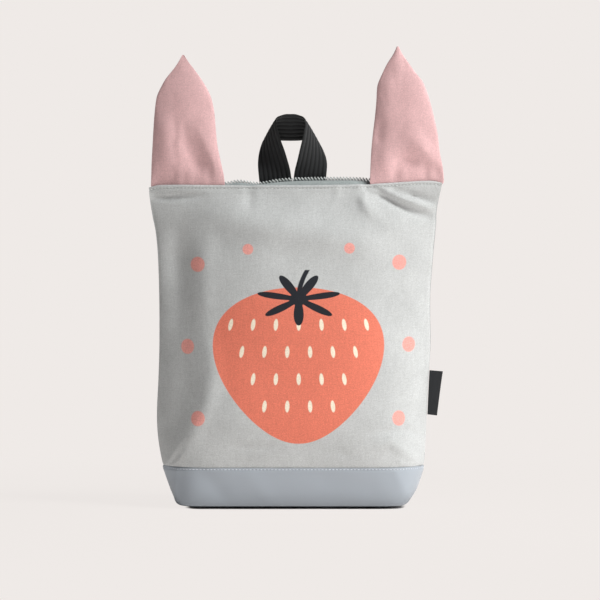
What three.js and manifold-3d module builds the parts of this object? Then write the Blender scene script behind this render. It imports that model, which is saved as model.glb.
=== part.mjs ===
// A small child's animal backpack: a canvas pouch with a leatherette base, standing upright.
// Two pink ears stand in the front of the zipped top, a webbing loop stands behind the zip,
// and two webbing shoulder straps with ladder locks hang down the back.
// Millimetres. The front faces -Y, +X is to the right seen from the front, and the base stands on z = 0.
import * as THREE from "three";
import { mergeVertices } from "three/addons/utils/BufferGeometryUtils.js";
import Module from "manifold-3d";

const wasm = await Module();
wasm.setup();

// Driving dimensions of the pouch
const BODY_HEIGHT = 300; // floor to the top edge
const TOP_WIDTH = 273; // across the top edge, side seam to side seam
const BASE_DEPTH = 68; // front to back at the standing base
const TOP_DEPTH = 28; // front to back over the zip, at mid width
const CORNER_DEPTH = 6.6; // front to back at the top corners, where the layers are sewn flat
const CORNER_RISE = 20; // height over which the side seam widens to the corner depth
const BASE_HEIGHT = 38.5; // floor to the seam between leatherette and canvas
const CANVAS = 1.6; // canvas wall
const LEATHERETTE = 1.8; // leatherette wall
const BASE_FLOOR = 2.4; // bottom of the base
const GAP = 0.3; // between sewn layers
const FOLD_DEPTH = 3; // a full fold in the canvas, crest to ground
const FOLD_SPREAD = 2; // width of a fold's bell, in its reach

// Ears
const EAR_WIDTH = 69;
const LEFT_EAR_HEIGHT = 120.5;
const RIGHT_EAR_HEIGHT = 126;
const LEFT_EAR_INSET = 2; // outer edge to the top corner, inwards
const RIGHT_EAR_INSET = -1.6;
const EAR_LOFT = 12; // thickness at the fullest place
const EAR_EDGE = 1.4; // two layers of cotton at the seam
const EAR_TAB = 5.5; // sewn in below the top edge
const EAR_TAB_WIDTH = 64; // at its lower edge
const EAR_LEAN = 12; // tip forward of the foot
const EAR_CURL = 1.4; // power by which the lean grows up the ear, 1 for a straight ear
const EAR_ROUND = 0.6; // power of its section, 0.5 for an ellipse and 1 for a sharp edge

// Zip
const ZIP_LENGTH = 202; // closed chain
const TAPE_END = 8; // tape beyond the chain, at each end
const TAPE_LENGTH = ZIP_LENGTH + 2 * TAPE_END;
const TAPE = 1; // tape thickness
const TAPE_TAB = 6; // tape sewn in below the top edge
const CHAIN_WIDTH = 6;
const CHAIN_THICK = 2.4;
const TOOTH_PITCH = 3;
const TOOTH_DEPTH = 0.9;
const ZIP_SET_BACK = 1.6; // chain's middle behind the side seams
const ZIP_RISE = 7; // chain above the top edge at its highest
const SLIDER_INSET = 7; // slider's middle to the end of the chain
const SLIDER_LENGTH = 9;
const SLIDER_WIDTH = 8.6;
const SLIDER_PLATE = 1.2;
const SLIDER_SKIRT = 0.5; // turned-down edges below the plate
const SLIDER_BEVEL = 0.48; // off the plate's upper edges
const BAIL_LENGTH = 7;
const BAIL_RISE = 4.2;
const BAIL_BAR = 1.3;
const BAIL_WIDTH = 2;
const PULL_LENGTH = 20;
const PULL_WIDTH = 5.6;
const PULL_THICK = 1.3;
const PULL_CORNER = 1.6; // off the corners of its tip
const PULL_EYE = 4; // length of the window that the bail passes through
const PULL_REST_TILT = 2; // degrees, tip down on the chain

// Webbing of the carrying loop and the shoulder straps
const WEBBING_WIDTH = 30;
const WEBBING = 1.6;
const LOOP_RISE = 67; // top edge to the top of the carrying loop
const LOOP_OFFSET = -2.8; // loop's middle from the pouch's middle
const LOOP_TAB = 5.5; // sewn in below the top edge
const LOOP_FOOTPRINT = 1.1; // half the breadth kept flat behind its feet, in WEBBING_WIDTH
const STRAP_BOW = 58; // furthest that a shoulder strap stands off the back
const STRAP_TAIL = 62; // loose end below its ladder lock
const STRAP_FOLD = 22; // strap turned back and sewn above its ladder lock
const STRAP_RELEASE = 13; // past the lock's edge, where the strap is back on its own route
const STRAP_HUG = 8; // how soon the strap turns away from the back as it leaves it
const STRAP_EASE = 1.5; // room under a strap that lies askew on the round back, in the back's slope
const LOCK_WIDTH = 38.4;
const LOCK_THICK = 3.4;
const LOCK_BAR = 4;
const LOCK_SLOT = 9; // clear height of the slot between the two upper bars
const LOCK_LOWER_SLOT = 6.5;
const LOCK_MIDDLE = 1.5; // upper edge of the middle bar, above the lock's own middle
const LOCK_CORNER = 2.5;
const LOCK_AT = 0.355; // height of the locks, as a share of the pouch's height

// Side label
const LABEL_HEIGHT = 41;
const LABEL_REACH = 12; // how far its upper corner stands out of the side seam
const LABEL_LOWER_REACH = 8.6;
const LABEL_TOP = 127; // height of its upper edge
const LABEL_THICK = 1.2;
const LABEL_DROOP = 1; // its outer corners below its inner ones

// Facets
const FRONT_COLUMNS = 34;
const BACK_COLUMNS = 24;
const PANEL_ROWS = 21;
const EAR_COLUMNS = 8;
const EAR_ROWS = 16;
const TAPE_COLUMNS = 26;
const LOOP_STEPS = 28;
const LOOP_STRIPS = 3;
const STRAP_STEP = 7;
const LOCK_TURN_STEPS = 6;
const LABEL_STEPS = 4;
const CHAIN_STEPS = 24; // along the chain's underside
const CLOTH_STEPS = 240; // for measuring along the cloth

// Horizontal sections of the pouch. height is a share of BODY_HEIGHT, left and right are shares of
// half TOP_WIDTH. front and back are 0 at half TOP_DEPTH and 1 at half BASE_DEPTH. full and square shape
// the section: 2 and 1 make a lens, larger and smaller ones make a box.
const SECTIONS = [
  { height: 0, left: 0.79, right: 0.73, front: 0.72, back: 0.72, full: 16, square: 0.35 },
  { height: 0.011, left: 0.81, right: 0.76, front: 0.88, back: 0.88, full: 15, square: 0.4 },
  { height: 0.027, left: 0.828, right: 0.787, front: 0.97, back: 0.97, full: 14, square: 0.5 },
  { height: 0.053, left: 0.854, right: 0.826, front: 1.04, back: 1.02, full: 12, square: 0.65 },
  { height: 0.128, left: 0.909, right: 0.88, front: 1.15, back: 1.06, full: 8, square: 0.9 },
  { height: 0.21, left: 0.942, right: 0.894, front: 1.32, back: 1.08, full: 5.5, square: 1 },
  { height: 0.287, left: 0.951, right: 0.901, front: 1.4, back: 1.08, full: 4.2, square: 1 },
  { height: 0.4, left: 0.94, right: 0.912, front: 1.32, back: 1, full: 3.4, square: 1 },
  { height: 0.5, left: 0.933, right: 0.926, front: 1.22, back: 0.9, full: 3, square: 1 },
  { height: 0.643, left: 0.933, right: 0.923, front: 1.03, back: 0.7, full: 2.7, square: 1 },
  { height: 0.783, left: 0.942, right: 0.944, front: 0.75, back: 0.47, full: 2.5, square: 1 },
  { height: 0.86, left: 0.957, right: 0.96, front: 0.53, back: 0.33, full: 2.4, square: 1 },
  { height: 0.907, left: 0.977, right: 0.965, front: 0.34, back: 0.21, full: 2.3, square: 1 },
  { height: 0.95, left: 0.99, right: 0.978, front: 0.15, back: 0.1, full: 2.2, square: 1 },
  { height: 0.973, left: 0.996, right: 0.989, front: 0.06, back: 0.04, full: 2.2, square: 1 },
  { height: 1, left: 1, right: 1, front: 0, back: 0, full: 2.2, square: 1 },
];

// Top edge of the front: across is a share of half TOP_WIDTH, rise a share of BODY_HEIGHT.
const TOP_EDGE = [
  { across: -1, rise: -0.009 },
  { across: -0.93, rise: -0.0035 },
  { across: -0.5, rise: -0.0045 },
  { across: 0, rise: -0.0045 },
  { across: 0.35, rise: -0.003 },
  { across: 0.54, rise: 0 },
  { across: 0.76, rise: 0.0065 },
  { across: 0.93, rise: 0.0095 },
  { across: 1.02, rise: 0.004 },
];

// Chain of the zip above the top edge: across is a share of half TOP_WIDTH, rise a share of ZIP_RISE.
const ZIP_WAVE = [
  { across: -0.75, rise: 0.45 },
  { across: -0.47, rise: 0.4 },
  { across: -0.39, rise: 0.68 },
  { across: -0.25, rise: 0.36 },
  { across: -0.12, rise: 0.78 },
  { across: 0, rise: 0.95 },
  { across: 0.3, rise: 1 },
  { across: 0.44, rise: 0.86 },
  { across: 0.54, rise: 0.6 },
  { across: 0.75, rise: 0.55 },
];

// A tape's section bends once between the lip and the teeth. across is the bend's share of the way to
// the chain, rise its share of the way up to the chain's crest. inset and drop move the inner face there
// and at the teeth, as shares of TAPE.
const TAPE_BEND = { across: 0.45, rise: 0.6, inset: 0.4, drop: 1.4 };

// Folds of the front: ends as shares of half TOP_WIDTH and of BODY_HEIGHT, reach as a share of TOP_WIDTH,
// lift as a share of FOLD_DEPTH, below 0 for a valley.
const FRONT_FOLDS = [
  { x0: -0.98, z0: 0.955, x1: -0.56, z1: 0.965, reach: 0.016, lift: -0.75 },
  { x0: 0.52, z0: 0.965, x1: 0.72, z1: 0.925, reach: 0.017, lift: -0.8 },
  { x0: 0.72, z0: 0.925, x1: 0.92, z1: 0.895, reach: 0.017, lift: -0.85 },
  { x0: 0.68, z0: 0.962, x1: 0.91, z1: 0.93, reach: 0.016, lift: 0.7 },
  { x0: 0.8, z0: 0.978, x1: 0.93, z1: 0.955, reach: 0.013, lift: -0.7 },
  { x0: -0.29, z0: 0.97, x1: -0.32, z1: 0.91, reach: 0.016, lift: -0.4 },
  { x0: -0.62, z0: 0.35, x1: -0.7, z1: 0.26, reach: 0.03, lift: -0.8 },
  { x0: -0.7, z0: 0.26, x1: -0.84, z1: 0.15, reach: 0.024, lift: -1 },
  { x0: -0.54, z0: 0.31, x1: -0.72, z1: 0.2, reach: 0.026, lift: 0.7 },
  { x0: 0.62, z0: 0.25, x1: 0.86, z1: 0.235, reach: 0.02, lift: -0.8 },
  { x0: 0.67, z0: 0.23, x1: 0.76, z1: 0.165, reach: 0.015, lift: 1 },
  { x0: 0.76, z0: 0.165, x1: 0.87, z1: 0.142, reach: 0.013, lift: 0.8 },
  { x0: 0.5, z0: 0.2, x1: 0.7, z1: 0.155, reach: 0.02, lift: -0.6 },
];

// Outlines of the ears seen from the front: up is a share of the ear's height, left and right are shares
// of EAR_WIDTH.
const LEFT_EAR = [
  { up: 0, left: -0.5, right: 0.5 },
  { up: 0.096, left: -0.493, right: 0.478 },
  { up: 0.184, left: -0.488, right: 0.443 },
  { up: 0.316, left: -0.473, right: 0.396 },
  { up: 0.449, left: -0.458, right: 0.373 },
  { up: 0.563, left: -0.442, right: 0.357 },
  { up: 0.669, left: -0.418, right: 0.32 },
  { up: 0.704, left: -0.399, right: 0.297 },
  { up: 0.757, left: -0.353, right: 0.25 },
  { up: 0.819, left: -0.291, right: 0.182 },
  { up: 0.899, left: -0.176, right: 0.081 },
  { up: 0.95, left: -0.115, right: 0.01 },
  { up: 1, left: -0.068, right: -0.044 },
];
const RIGHT_EAR = [
  { up: 0, left: -0.5, right: 0.5 },
  { up: 0.104, left: -0.492, right: 0.485 },
  { up: 0.232, left: -0.481, right: 0.437 },
  { up: 0.358, left: -0.461, right: 0.408 },
  { up: 0.485, left: -0.433, right: 0.354 },
  { up: 0.611, left: -0.412, right: 0.292 },
  { up: 0.704, left: -0.404, right: 0.231 },
  { up: 0.74, left: -0.392, right: 0.2 },
  { up: 0.797, left: -0.346, right: 0.116 },
  { up: 0.882, left: -0.268, right: 0.009 },
  { up: 0.95, left: -0.184, right: -0.076 },
  { up: 1, left: -0.142, right: -0.118 },
];

// How full an ear is: up is a share of its height, swell a share of EAR_LOFT.
const EAR_SWELL = [
  { up: 0, swell: 0 },
  { up: 0.04, swell: 0.16 },
  { up: 0.12, swell: 0.45 },
  { up: 0.25, swell: 0.78 },
  { up: 0.42, swell: 1 },
  { up: 0.6, swell: 0.92 },
  { up: 0.75, swell: 0.7 },
  { up: 0.88, swell: 0.4 },
  { up: 1, swell: 0 },
];

// Folds of the ears: places as shares of EAR_WIDTH and of the ear's height, as in FRONT_FOLDS otherwise.
const LEFT_EAR_FOLDS = [
  { x0: -0.1, z0: 0.45, x1: 0.1, z1: 0.33, reach: 0.1, lift: -0.5 },
  { x0: 0.1, z0: 0.33, x1: 0.38, z1: 0.1, reach: 0.09, lift: -0.9 },
];
const RIGHT_EAR_FOLDS = [
  { x0: 0.05, z0: 0.28, x1: 0.4, z1: 0.1, reach: 0.1, lift: -0.9 },
  { x0: 0.1, z0: 0.1, x1: 0.3, z1: 0.04, reach: 0.05, lift: 0.5 },
];

// Half of the carrying loop, foot to top, seen from the front. across is a share of WEBBING_WIDTH from the
// loop's middle, up a share of LOOP_RISE. near is the band's front edge and rear its back edge, and their
// distance in depth follows from the webbing's width. crown bows the band outwards, as a share of
// WEBBING_WIDTH.
const LOOP_ROWS = [
  { nearAcross: 0.012, nearUp: 0, rearAcross: 1.012, rearUp: 0, crown: 0 },
  { nearAcross: 0.07, nearUp: 0.21, rearAcross: 1.06, rearUp: 0.2, crown: 0 },
  { nearAcross: 0.15, nearUp: 0.35, rearAcross: 1.075, rearUp: 0.31, crown: 0 },
  { nearAcross: 0.235, nearUp: 0.49, rearAcross: 1.05, rearUp: 0.41, crown: 0.01 },
  { nearAcross: 0.33, nearUp: 0.63, rearAcross: 1, rearUp: 0.49, crown: 0.02 },
  { nearAcross: 0.405, nearUp: 0.76, rearAcross: 0.93, rearUp: 0.56, crown: 0.03 },
  { nearAcross: 0.45, nearUp: 0.875, rearAcross: 0.845, rearUp: 0.62, crown: 0.03 },
  { nearAcross: 0.4, nearUp: 0.955, rearAcross: 0.7, rearUp: 0.65, crown: 0.03 },
  { nearAcross: 0.27, nearUp: 0.985, rearAcross: 0.48, rearUp: 0.65, crown: 0.02 },
  { nearAcross: 0.13, nearUp: 1, rearAcross: 0.24, rearUp: 0.642, crown: 0.01 },
  { nearAcross: 0, nearUp: 1, rearAcross: 0, rearUp: 0.64, crown: 0 },
];

// Turns of a strap through its lock, as shares: stand of the webbing's distance from the lock's middle plane,
// lap of the distance between two plies, and up and down of STRAP_FOLD and STRAP_TAIL from the lock's edge.
const FOLD_BEHIND = [
  { stand: -0.55, lap: 0, up: 0.32 },
  { stand: -1, lap: 0, up: 0.09 },
];
const FOLD_IN_FRONT = [
  { stand: 1, lap: 0, up: 0.045 },
  { stand: 0.9, lap: 0, up: 0.18 },
  { stand: 0, lap: 1.02, up: 0.455 },
  { stand: 0, lap: 1.05, up: 1 },
];
const TAIL_IN_FRONT = [
  { stand: 1.4, down: 1 },
  { stand: 1.6, down: 0.75 },
  { stand: 1.7, down: 0.5 },
  { stand: 1.5, down: 0.25 },
  { stand: 1.1, down: 0.065 },
  { stand: 1, down: 0 },
];
const TAIL_BEHIND = [
  { stand: -1, down: 0 },
  { stand: -0.6, down: 0.097 },
];

// A shoulder strap, top to foot: across is a share of half TOP_WIDTH, height a share of BODY_HEIGHT,
// out a share of STRAP_BOW from the back of the pouch, 0 where it is sewn down.
const STRAP_ROUTE = [
  { across: 0.22, height: 0.953, out: 0 },
  { across: 0.235, height: 0.925, out: 0 },
  { across: 0.25, height: 0.895, out: 0 },
  { across: 0.278, height: 0.84, out: 0.1 },
  { across: 0.33, height: 0.74, out: 0.34 },
  { across: 0.39, height: 0.63, out: 0.58 },
  { across: 0.44, height: 0.53, out: 0.78 },
  { across: 0.49, height: 0.43, out: 0.92 },
  { across: 0.53, height: 0.355, out: 0.985 },
  { across: 0.56, height: 0.28, out: 1 },
  { across: 0.6, height: 0.18, out: 0.93 },
  { across: 0.63, height: 0.095, out: 0.75 },
  { across: 0.65, height: 0.037, out: 0.52 },
  { across: 0.662, height: 0.014, out: 0.3 },
  { across: 0.668, height: 0.03, out: 0.1 },
  { across: 0.67, height: 0.06, out: 0 },
  { across: 0.672, height: 0.085, out: 0 },
  { across: 0.674, height: 0.11, out: 0 },
];

const COLOURS = {
  canvas: { color: 0xbfc4c3, roughness: 0.92, metalness: 0 },
  leatherette: { color: 0x9ca5ad, roughness: 0.55, metalness: 0 },
  cotton: { color: 0xdba9a9, roughness: 0.9, metalness: 0 },
  webbing: { color: 0x1c2021, roughness: 0.85, metalness: 0 },
  tape: { color: 0xaeb6b8, roughness: 0.85, metalness: 0 },
  teeth: { color: 0x9aa1a3, roughness: 0.45, metalness: 0 },
  metal: { color: 0x8c9092, roughness: 0.35, metalness: 1 },
  lock: { color: 0x17191b, roughness: 0.45, metalness: 0 },
  label: { color: 0x14171a, roughness: 0.8, metalness: 0 },
};

// Heights of the base's rings, outside from the floor up and inside from the seam down, as shares of
// BASE_HEIGHT.
const BASE_OUTSIDE = [0, 0.04, 0.1, 0.2, 0.4, 0.7, 1];
const BASE_INSIDE = [1, 0.7, 0.4, 0.2];
// Ring that the inside of the base's foot follows, moved in by so many walls.
const BASE_TOE = { height: 0.1, walls: 1.5 };

// Small helpers

const vec = (x, y, z) => new THREE.Vector3(x, y, z);

// Smooth value of a column of a table at a place along another column.
function along(table, key, column, place) {
  const last = table.length - 1;
  if (place <= table[0][key]) return table[0][column];
  if (place >= table[last][key]) return table[last][column];
  let i = 0;
  while (table[i + 1][key] < place) i++;
  const slope = (j) => {
    const a = table[Math.max(0, j - 1)];
    const b = table[Math.min(last, j + 1)];
    return (b[column] - a[column]) / (b[key] - a[key]);
  };
  const span = table[i + 1][key] - table[i][key];
  const t = (place - table[i][key]) / span;
  const u = 1 - t;
  return (
    (1 + 2 * t) * u * u * table[i][column] +
    t * u * u * span * slope(i) +
    t * t * (3 - 2 * t) * table[i + 1][column] -
    t * t * u * span * slope(i + 1)
  );
}

// 0 below a, 1 above b, smooth between.
const ramp = (a, b, value) => THREE.MathUtils.smoothstep(value, a, b);

// Closed solid between two grids of points that match, grid[row][column], with the outer grid's rows upwards
// and its columns to the right seen from outside.
function shell(outer, inner) {
  const rows = outer.length;
  const columns = outer[0].length;
  const points = [...outer.flat(), ...inner.flat()];
  const out = (i, j) => i * columns + j;
  const back = (i, j) => rows * columns + i * columns + j;
  const index = [];
  const quad = (a, b, c, d) => index.push(a, b, c, a, c, d);
  for (let i = 0; i + 1 < rows; i++) {
    for (let j = 0; j + 1 < columns; j++) {
      quad(out(i, j), out(i, j + 1), out(i + 1, j + 1), out(i + 1, j));
      quad(back(i, j), back(i + 1, j), back(i + 1, j + 1), back(i, j + 1));
    }
    const end = columns - 1;
    quad(out(i, 0), out(i + 1, 0), back(i + 1, 0), back(i, 0));
    quad(out(i, end), back(i, end), back(i + 1, end), out(i + 1, end));
  }
  for (let j = 0; j + 1 < columns; j++) {
    const top = rows - 1;
    quad(out(0, j), back(0, j), back(0, j + 1), out(0, j + 1));
    quad(out(top, j), out(top, j + 1), back(top, j + 1), back(top, j));
  }
  return geometryOf(points, index);
}

function geometryOf(points, index) {
  const geometry = new THREE.BufferGeometry().setFromPoints(points);
  geometry.setIndex(index);
  return geometry;
}

// Height that the folds of a table add at a place. width and height are the sizes that its shares follow.
function relief(folds, x, z, width, height) {
  let sum = 0;
  for (const fold of folds) {
    const ax = fold.x0 * width;
    const az = fold.z0 * height;
    const dx = fold.x1 * width - ax;
    const dz = fold.z1 * height - az;
    const share = THREE.MathUtils.clamp(((x - ax) * dx + (z - az) * dz) / (dx * dx + dz * dz), 0, 1);
    const distance = Math.hypot(x - ax - share * dx, z - az - share * dz);
    sum += fold.lift * FOLD_DEPTH * Math.exp(-((distance / (fold.reach * width * FOLD_SPREAD)) ** 2));
  }
  return sum;
}

// Pouch

const section = (column, share) => along(SECTIONS, "height", column, share);
const topEdge = (x) => BODY_HEIGHT * (1 + along(TOP_EDGE, "across", "rise", x / (TOP_WIDTH / 2)));

// Half of the distance between front and back at the side seam.
function seamGap(share) {
  const open = ramp(1 - CORNER_RISE / BODY_HEIGHT, 1, share);
  return GAP / 2 + (CORNER_DEPTH / 2 - GAP / 2) * open;
}

// Depth of the pouch's outside at x. face is front or back, and seam is the half gap at the side seam.
function depthAt(face, x, share, seam) {
  const half = (TOP_WIDTH / 2) * section(x < 0 ? "left" : "right", share);
  const middle = TOP_DEPTH / 2 + ((BASE_DEPTH - TOP_DEPTH) / 2) * section(face, share);
  const u = Math.min(1, Math.abs(x) / half);
  return seam + (middle - seam) * (1 - u ** section("full", share)) ** section("square", share);
}

// The outside of one face at a height, as points [x, y] evenly along the cloth from the left seam to the
// right.
function clothLine(face, share, seam, columns) {
  const sign = face === "front" ? -1 : 1;
  const dense = [];
  for (let i = 0; i <= CLOTH_STEPS; i++) {
    const turn = (i / CLOTH_STEPS) * 2 - 1;
    const u = Math.sin((turn * Math.PI) / 2);
    const x = u * (TOP_WIDTH / 2) * section(turn < 0 ? "left" : "right", share);
    dense.push([x, sign * depthAt(face, x, share, seam)]);
  }
  const length = [0];
  for (let i = 1; i <= CLOTH_STEPS; i++) {
    length.push(length[i - 1] + Math.hypot(dense[i][0] - dense[i - 1][0], dense[i][1] - dense[i - 1][1]));
  }
  const line = [];
  for (let j = 0, i = 0; j <= columns; j++) {
    const want = (length[CLOTH_STEPS] * j) / columns;
    while (i < CLOTH_STEPS - 1 && length[i + 1] < want) i++;
    const t = (want - length[i]) / (length[i + 1] - length[i]);
    line.push([0, 1].map((k) => dense[i][k] + t * (dense[i + 1][k] - dense[i][k])));
  }
  return line;
}

// The same line moved inwards by a wall. It never passes the plane of the side seam.
function innerLine(line, wall, seam, sign) {
  const last = line.length - 1;
  return line.map(([x, y], j) => {
    const a = line[Math.max(0, j - 1)];
    const b = line[Math.min(last, j + 1)];
    const size = Math.hypot(b[0] - a[0], b[1] - a[1]);
    const nx = (sign * (b[1] - a[1])) / size;
    const ny = (-sign * (b[0] - a[0])) / size;
    const inside = sign * (y + ny * wall);
    return [x + nx * wall, sign * Math.max(seam, inside)];
  });
}

// Rows of a panel as shares from the base's seam to the top edge. The last two match the sewn layers
// behind them.
const PANEL_LOW = BASE_HEIGHT + GAP;
const PANEL_RISE = BODY_HEIGHT - PANEL_LOW;
const SEWN = (TAPE_TAB + GAP) / PANEL_RISE;
const SEAM_HOLD = 8; // power by which folds die out towards the side seams
const FOOT_HOLD = 0.05; // share of the rise over which folds die out towards the base

function panelRows() {
  const even = PANEL_ROWS - 2;
  const shares = [];
  for (let i = 0; i <= even; i++) shares.push((i / even) * (1 - 2 * SEWN));
  return [...shares, 1 - SEWN, 1];
}

const panelHeight = (v) => (PANEL_LOW + v * PANEL_RISE) / BODY_HEIGHT;

const COLUMNS = { front: FRONT_COLUMNS, back: BACK_COLUMNS };

// A canvas panel from the base's seam to the top edge.
function panel(face, folds) {
  const sign = face === "front" ? -1 : 1;
  const columns = COLUMNS[face];
  const outer = [];
  const inner = [];
  for (const v of panelRows()) {
    const share = panelHeight(v);
    const seam = seamGap(share);
    const line = clothLine(face, share, seam, columns);
    const inside = innerLine(line, CANVAS, seam, sign);
    const place = ([x, y], j) => {
      const z = PANEL_LOW + v * (topEdge(x) - PANEL_LOW);
      const u = (2 * j) / columns - 1;
      const still = (1 - u ** SEAM_HOLD) * ramp(0, FOOT_HOLD, v) * (1 - ramp(1 - 2 * SEWN, 1 - SEWN, v));
      const lift = folds.length ? relief(folds, x, z, TOP_WIDTH / 2, BODY_HEIGHT) * still : 0;
      return vec(x, y + sign * lift, z);
    };
    outer.push(line.map(place));
    inner.push(inside.map(place));
  }
  if (face === "back") [...outer, ...inner].forEach((row) => row.reverse());
  return shell(outer, inner);
}

// The leatherette base: walls all round and a flat floor, open at the top.
function baseShell() {
  const ring = (z) => {
    const front = clothLine("front", z / BODY_HEIGHT, 0, FRONT_COLUMNS);
    const back = clothLine("back", z / BODY_HEIGHT, 0, BACK_COLUMNS).reverse();
    return [...front.slice(0, -1), ...back.slice(0, -1)];
  };
  const narrowed = (line, wall) =>
    line.map(([x, y], j) => {
      const a = line[(j + line.length - 1) % line.length];
      const b = line[(j + 1) % line.length];
      const size = Math.hypot(b[0] - a[0], b[1] - a[1]);
      return [x - (wall * (b[1] - a[1])) / size, y + (wall * (b[0] - a[0])) / size];
    });
  const lifted = (line, z) => line.map(([x, y]) => vec(x, y, z));
  const outside = BASE_OUTSIDE.map((share) => share * BASE_HEIGHT);
  const inside = BASE_INSIDE.map((share) => share * BASE_HEIGHT);
  const toe = narrowed(ring(BASE_TOE.height * BASE_HEIGHT), BASE_TOE.walls * LEATHERETTE);
  const rings = [
    ...outside.map((z) => lifted(ring(z), z)),
    ...inside.map((z) => lifted(narrowed(ring(z), LEATHERETTE), z)),
    lifted(toe, BASE_FLOOR),
  ];
  const count = rings[0].length;
  const points = [...rings.flat(), vec(0, 0, 0), vec(0, 0, BASE_FLOOR)];
  const index = [];
  const last = rings.length - 1;
  for (let j = 0; j < count; j++) {
    const k = (j + 1) % count;
    for (let i = 0; i < last; i++) {
      const [a, b, c, d] = [i * count + j, i * count + k, (i + 1) * count + k, (i + 1) * count + j];
      index.push(a, b, c, a, c, d);
    }
    index.push(rings.length * count, k, j);
    index.push(last * count + j, last * count + k, rings.length * count + 1);
  }
  return geometryOf(points, index);
}

// Ears

const EARS = {
  left: { outline: LEFT_EAR, folds: LEFT_EAR_FOLDS, height: LEFT_EAR_HEIGHT },
  right: { outline: RIGHT_EAR, folds: RIGHT_EAR_FOLDS, height: RIGHT_EAR_HEIGHT },
};
EARS.left.middle = -(TOP_WIDTH / 2 - LEFT_EAR_INSET - EAR_WIDTH / 2);
EARS.right.middle = TOP_WIDTH / 2 - RIGHT_EAR_INSET - EAR_WIDTH / 2;

// Inside of both panels at the top edge and at the foot of what is sewn in there.
const sewnLines = (face, sign) =>
  [1 - SEWN, 1].map((v) => {
    const height = panelHeight(v);
    const seam = seamGap(height);
    return innerLine(clothLine(face, height, seam, COLUMNS[face]), CANVAS, seam, sign);
  });
const LININGS = { front: sewnLines("front", -1), back: sewnLines("back", 1) };

// The least depth of a panel's inside over the height of the sewn layers.
function lining(face, x) {
  const depths = LININGS[face].map((line) => {
    let j = 1;
    while (j < line.length - 1 && line[j][0] < x) j++;
    const [a, b] = [line[j - 1], line[j]];
    const t = THREE.MathUtils.clamp((x - a[0]) / (b[0] - a[0]), 0, 1);
    return Math.abs(THREE.MathUtils.lerp(a[1], b[1], t));
  });
  return Math.min(...depths);
}

// Shares of an ear's height: where its foot's curve has gone, and where its folds begin and end.
const EAR_SETTLED = 0.5;
const EAR_FOLDS_FROM = [0.02, 0.2];
const EAR_FOLDS_TO = [0.8, 1];
const EAR_EDGE_HOLD = 4; // power by which they die out towards its edge

const earFoot = (x) => -(lining("front", x) - GAP - EAR_EDGE / 2);

function ear({ outline, folds, height, middle }) {
  const front = [];
  const rear = [];
  const tabRows = 2;
  const rise = (x) => topEdge(THREE.MathUtils.clamp(x, -TOP_WIDTH / 2, TOP_WIDTH / 2));
  for (let i = -tabRows; i <= EAR_ROWS; i++) {
    const up = Math.max(0, i / EAR_ROWS);
    const narrow = i < 0 ? 1 + (i / tabRows) * (1 - EAR_TAB_WIDTH / EAR_WIDTH) : 1;
    const left = along(outline, "up", "left", up) * EAR_WIDTH * narrow;
    const right = along(outline, "up", "right", up) * EAR_WIDTH * narrow;
    const swell = (EAR_LOFT / 2) * along(EAR_SWELL, "up", "swell", up);
    const rows = [[], []];
    for (let j = 0; j <= EAR_COLUMNS; j++) {
      const s = Math.sin(((2 * j) / EAR_COLUMNS - 1) * (Math.PI / 2));
      const x = middle + (left + right) / 2 + (s * (right - left)) / 2;
      const lip = rise(x);
      const z = lip + (i < 0 ? (i / tabRows) * EAR_TAB : up * height);
      const across = (x - middle) / EAR_WIDTH;
      const still = (1 - s ** EAR_EDGE_HOLD) * ramp(...EAR_FOLDS_FROM, up) * (1 - ramp(...EAR_FOLDS_TO, up));
      const fold = relief(folds, across * EAR_WIDTH, up * height, EAR_WIDTH, height) * still;
      const round = (1 - s * s) ** EAR_ROUND;
      const foot = earFoot(THREE.MathUtils.clamp(x, -TOP_WIDTH / 2, TOP_WIDTH / 2));
      const stance = THREE.MathUtils.lerp(foot, earFoot(middle), ramp(0, EAR_SETTLED, up));
      const y = stance - EAR_LEAN * up ** EAR_CURL;
      const half = EAR_EDGE / 2 + swell * round;
      rows[0].push(vec(x, y - half - fold, z));
      rows[1].push(vec(x, y + half, z));
    }
    front.push(rows[0]);
    rear.push(rows[1]);
  }
  return shell(front, rear);
}

// Zip

// Middle depth of the loop's feet, which stand flat against the back panel.
const LOOP_SIDES = [-1, 1].map((side) => LOOP_OFFSET + side * LOOP_FOOTPRINT * WEBBING_WIDTH);
const LOOP_DEPTH = Math.min(...LOOP_SIDES.map((x) => lining("back", x))) - GAP - WEBBING / 2;

const chainHeight = (x) => topEdge(x) + ZIP_RISE * along(ZIP_WAVE, "across", "rise", x / (TOP_WIDTH / 2));

const TAPE_STEP = TAPE_LENGTH / TAPE_COLUMNS;

// 1 where a tape passes behind a layer that reaches half its width from its middle, 0 past the next facets.
function beside(x, middle, half) {
  const away = Math.abs(x - middle) - half;
  return 1 - ramp(TAPE_STEP, 2 * TAPE_STEP, away);
}

// Outer depth of a tape: behind the panel, an ear's foot or the loop's feet.
function tapeDepth(face, x) {
  const free = lining(face, x) - GAP;
  if (face === "back") {
    const passed = LOOP_DEPTH - WEBBING / 2 - GAP;
    return THREE.MathUtils.lerp(free, passed, beside(x, LOOP_OFFSET, WEBBING_WIDTH));
  }
  const ears = Object.values(EARS).map(({ middle }) => beside(x, middle, EAR_WIDTH / 2));
  return free - Math.max(...ears) * (EAR_EDGE + GAP);
}

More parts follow.
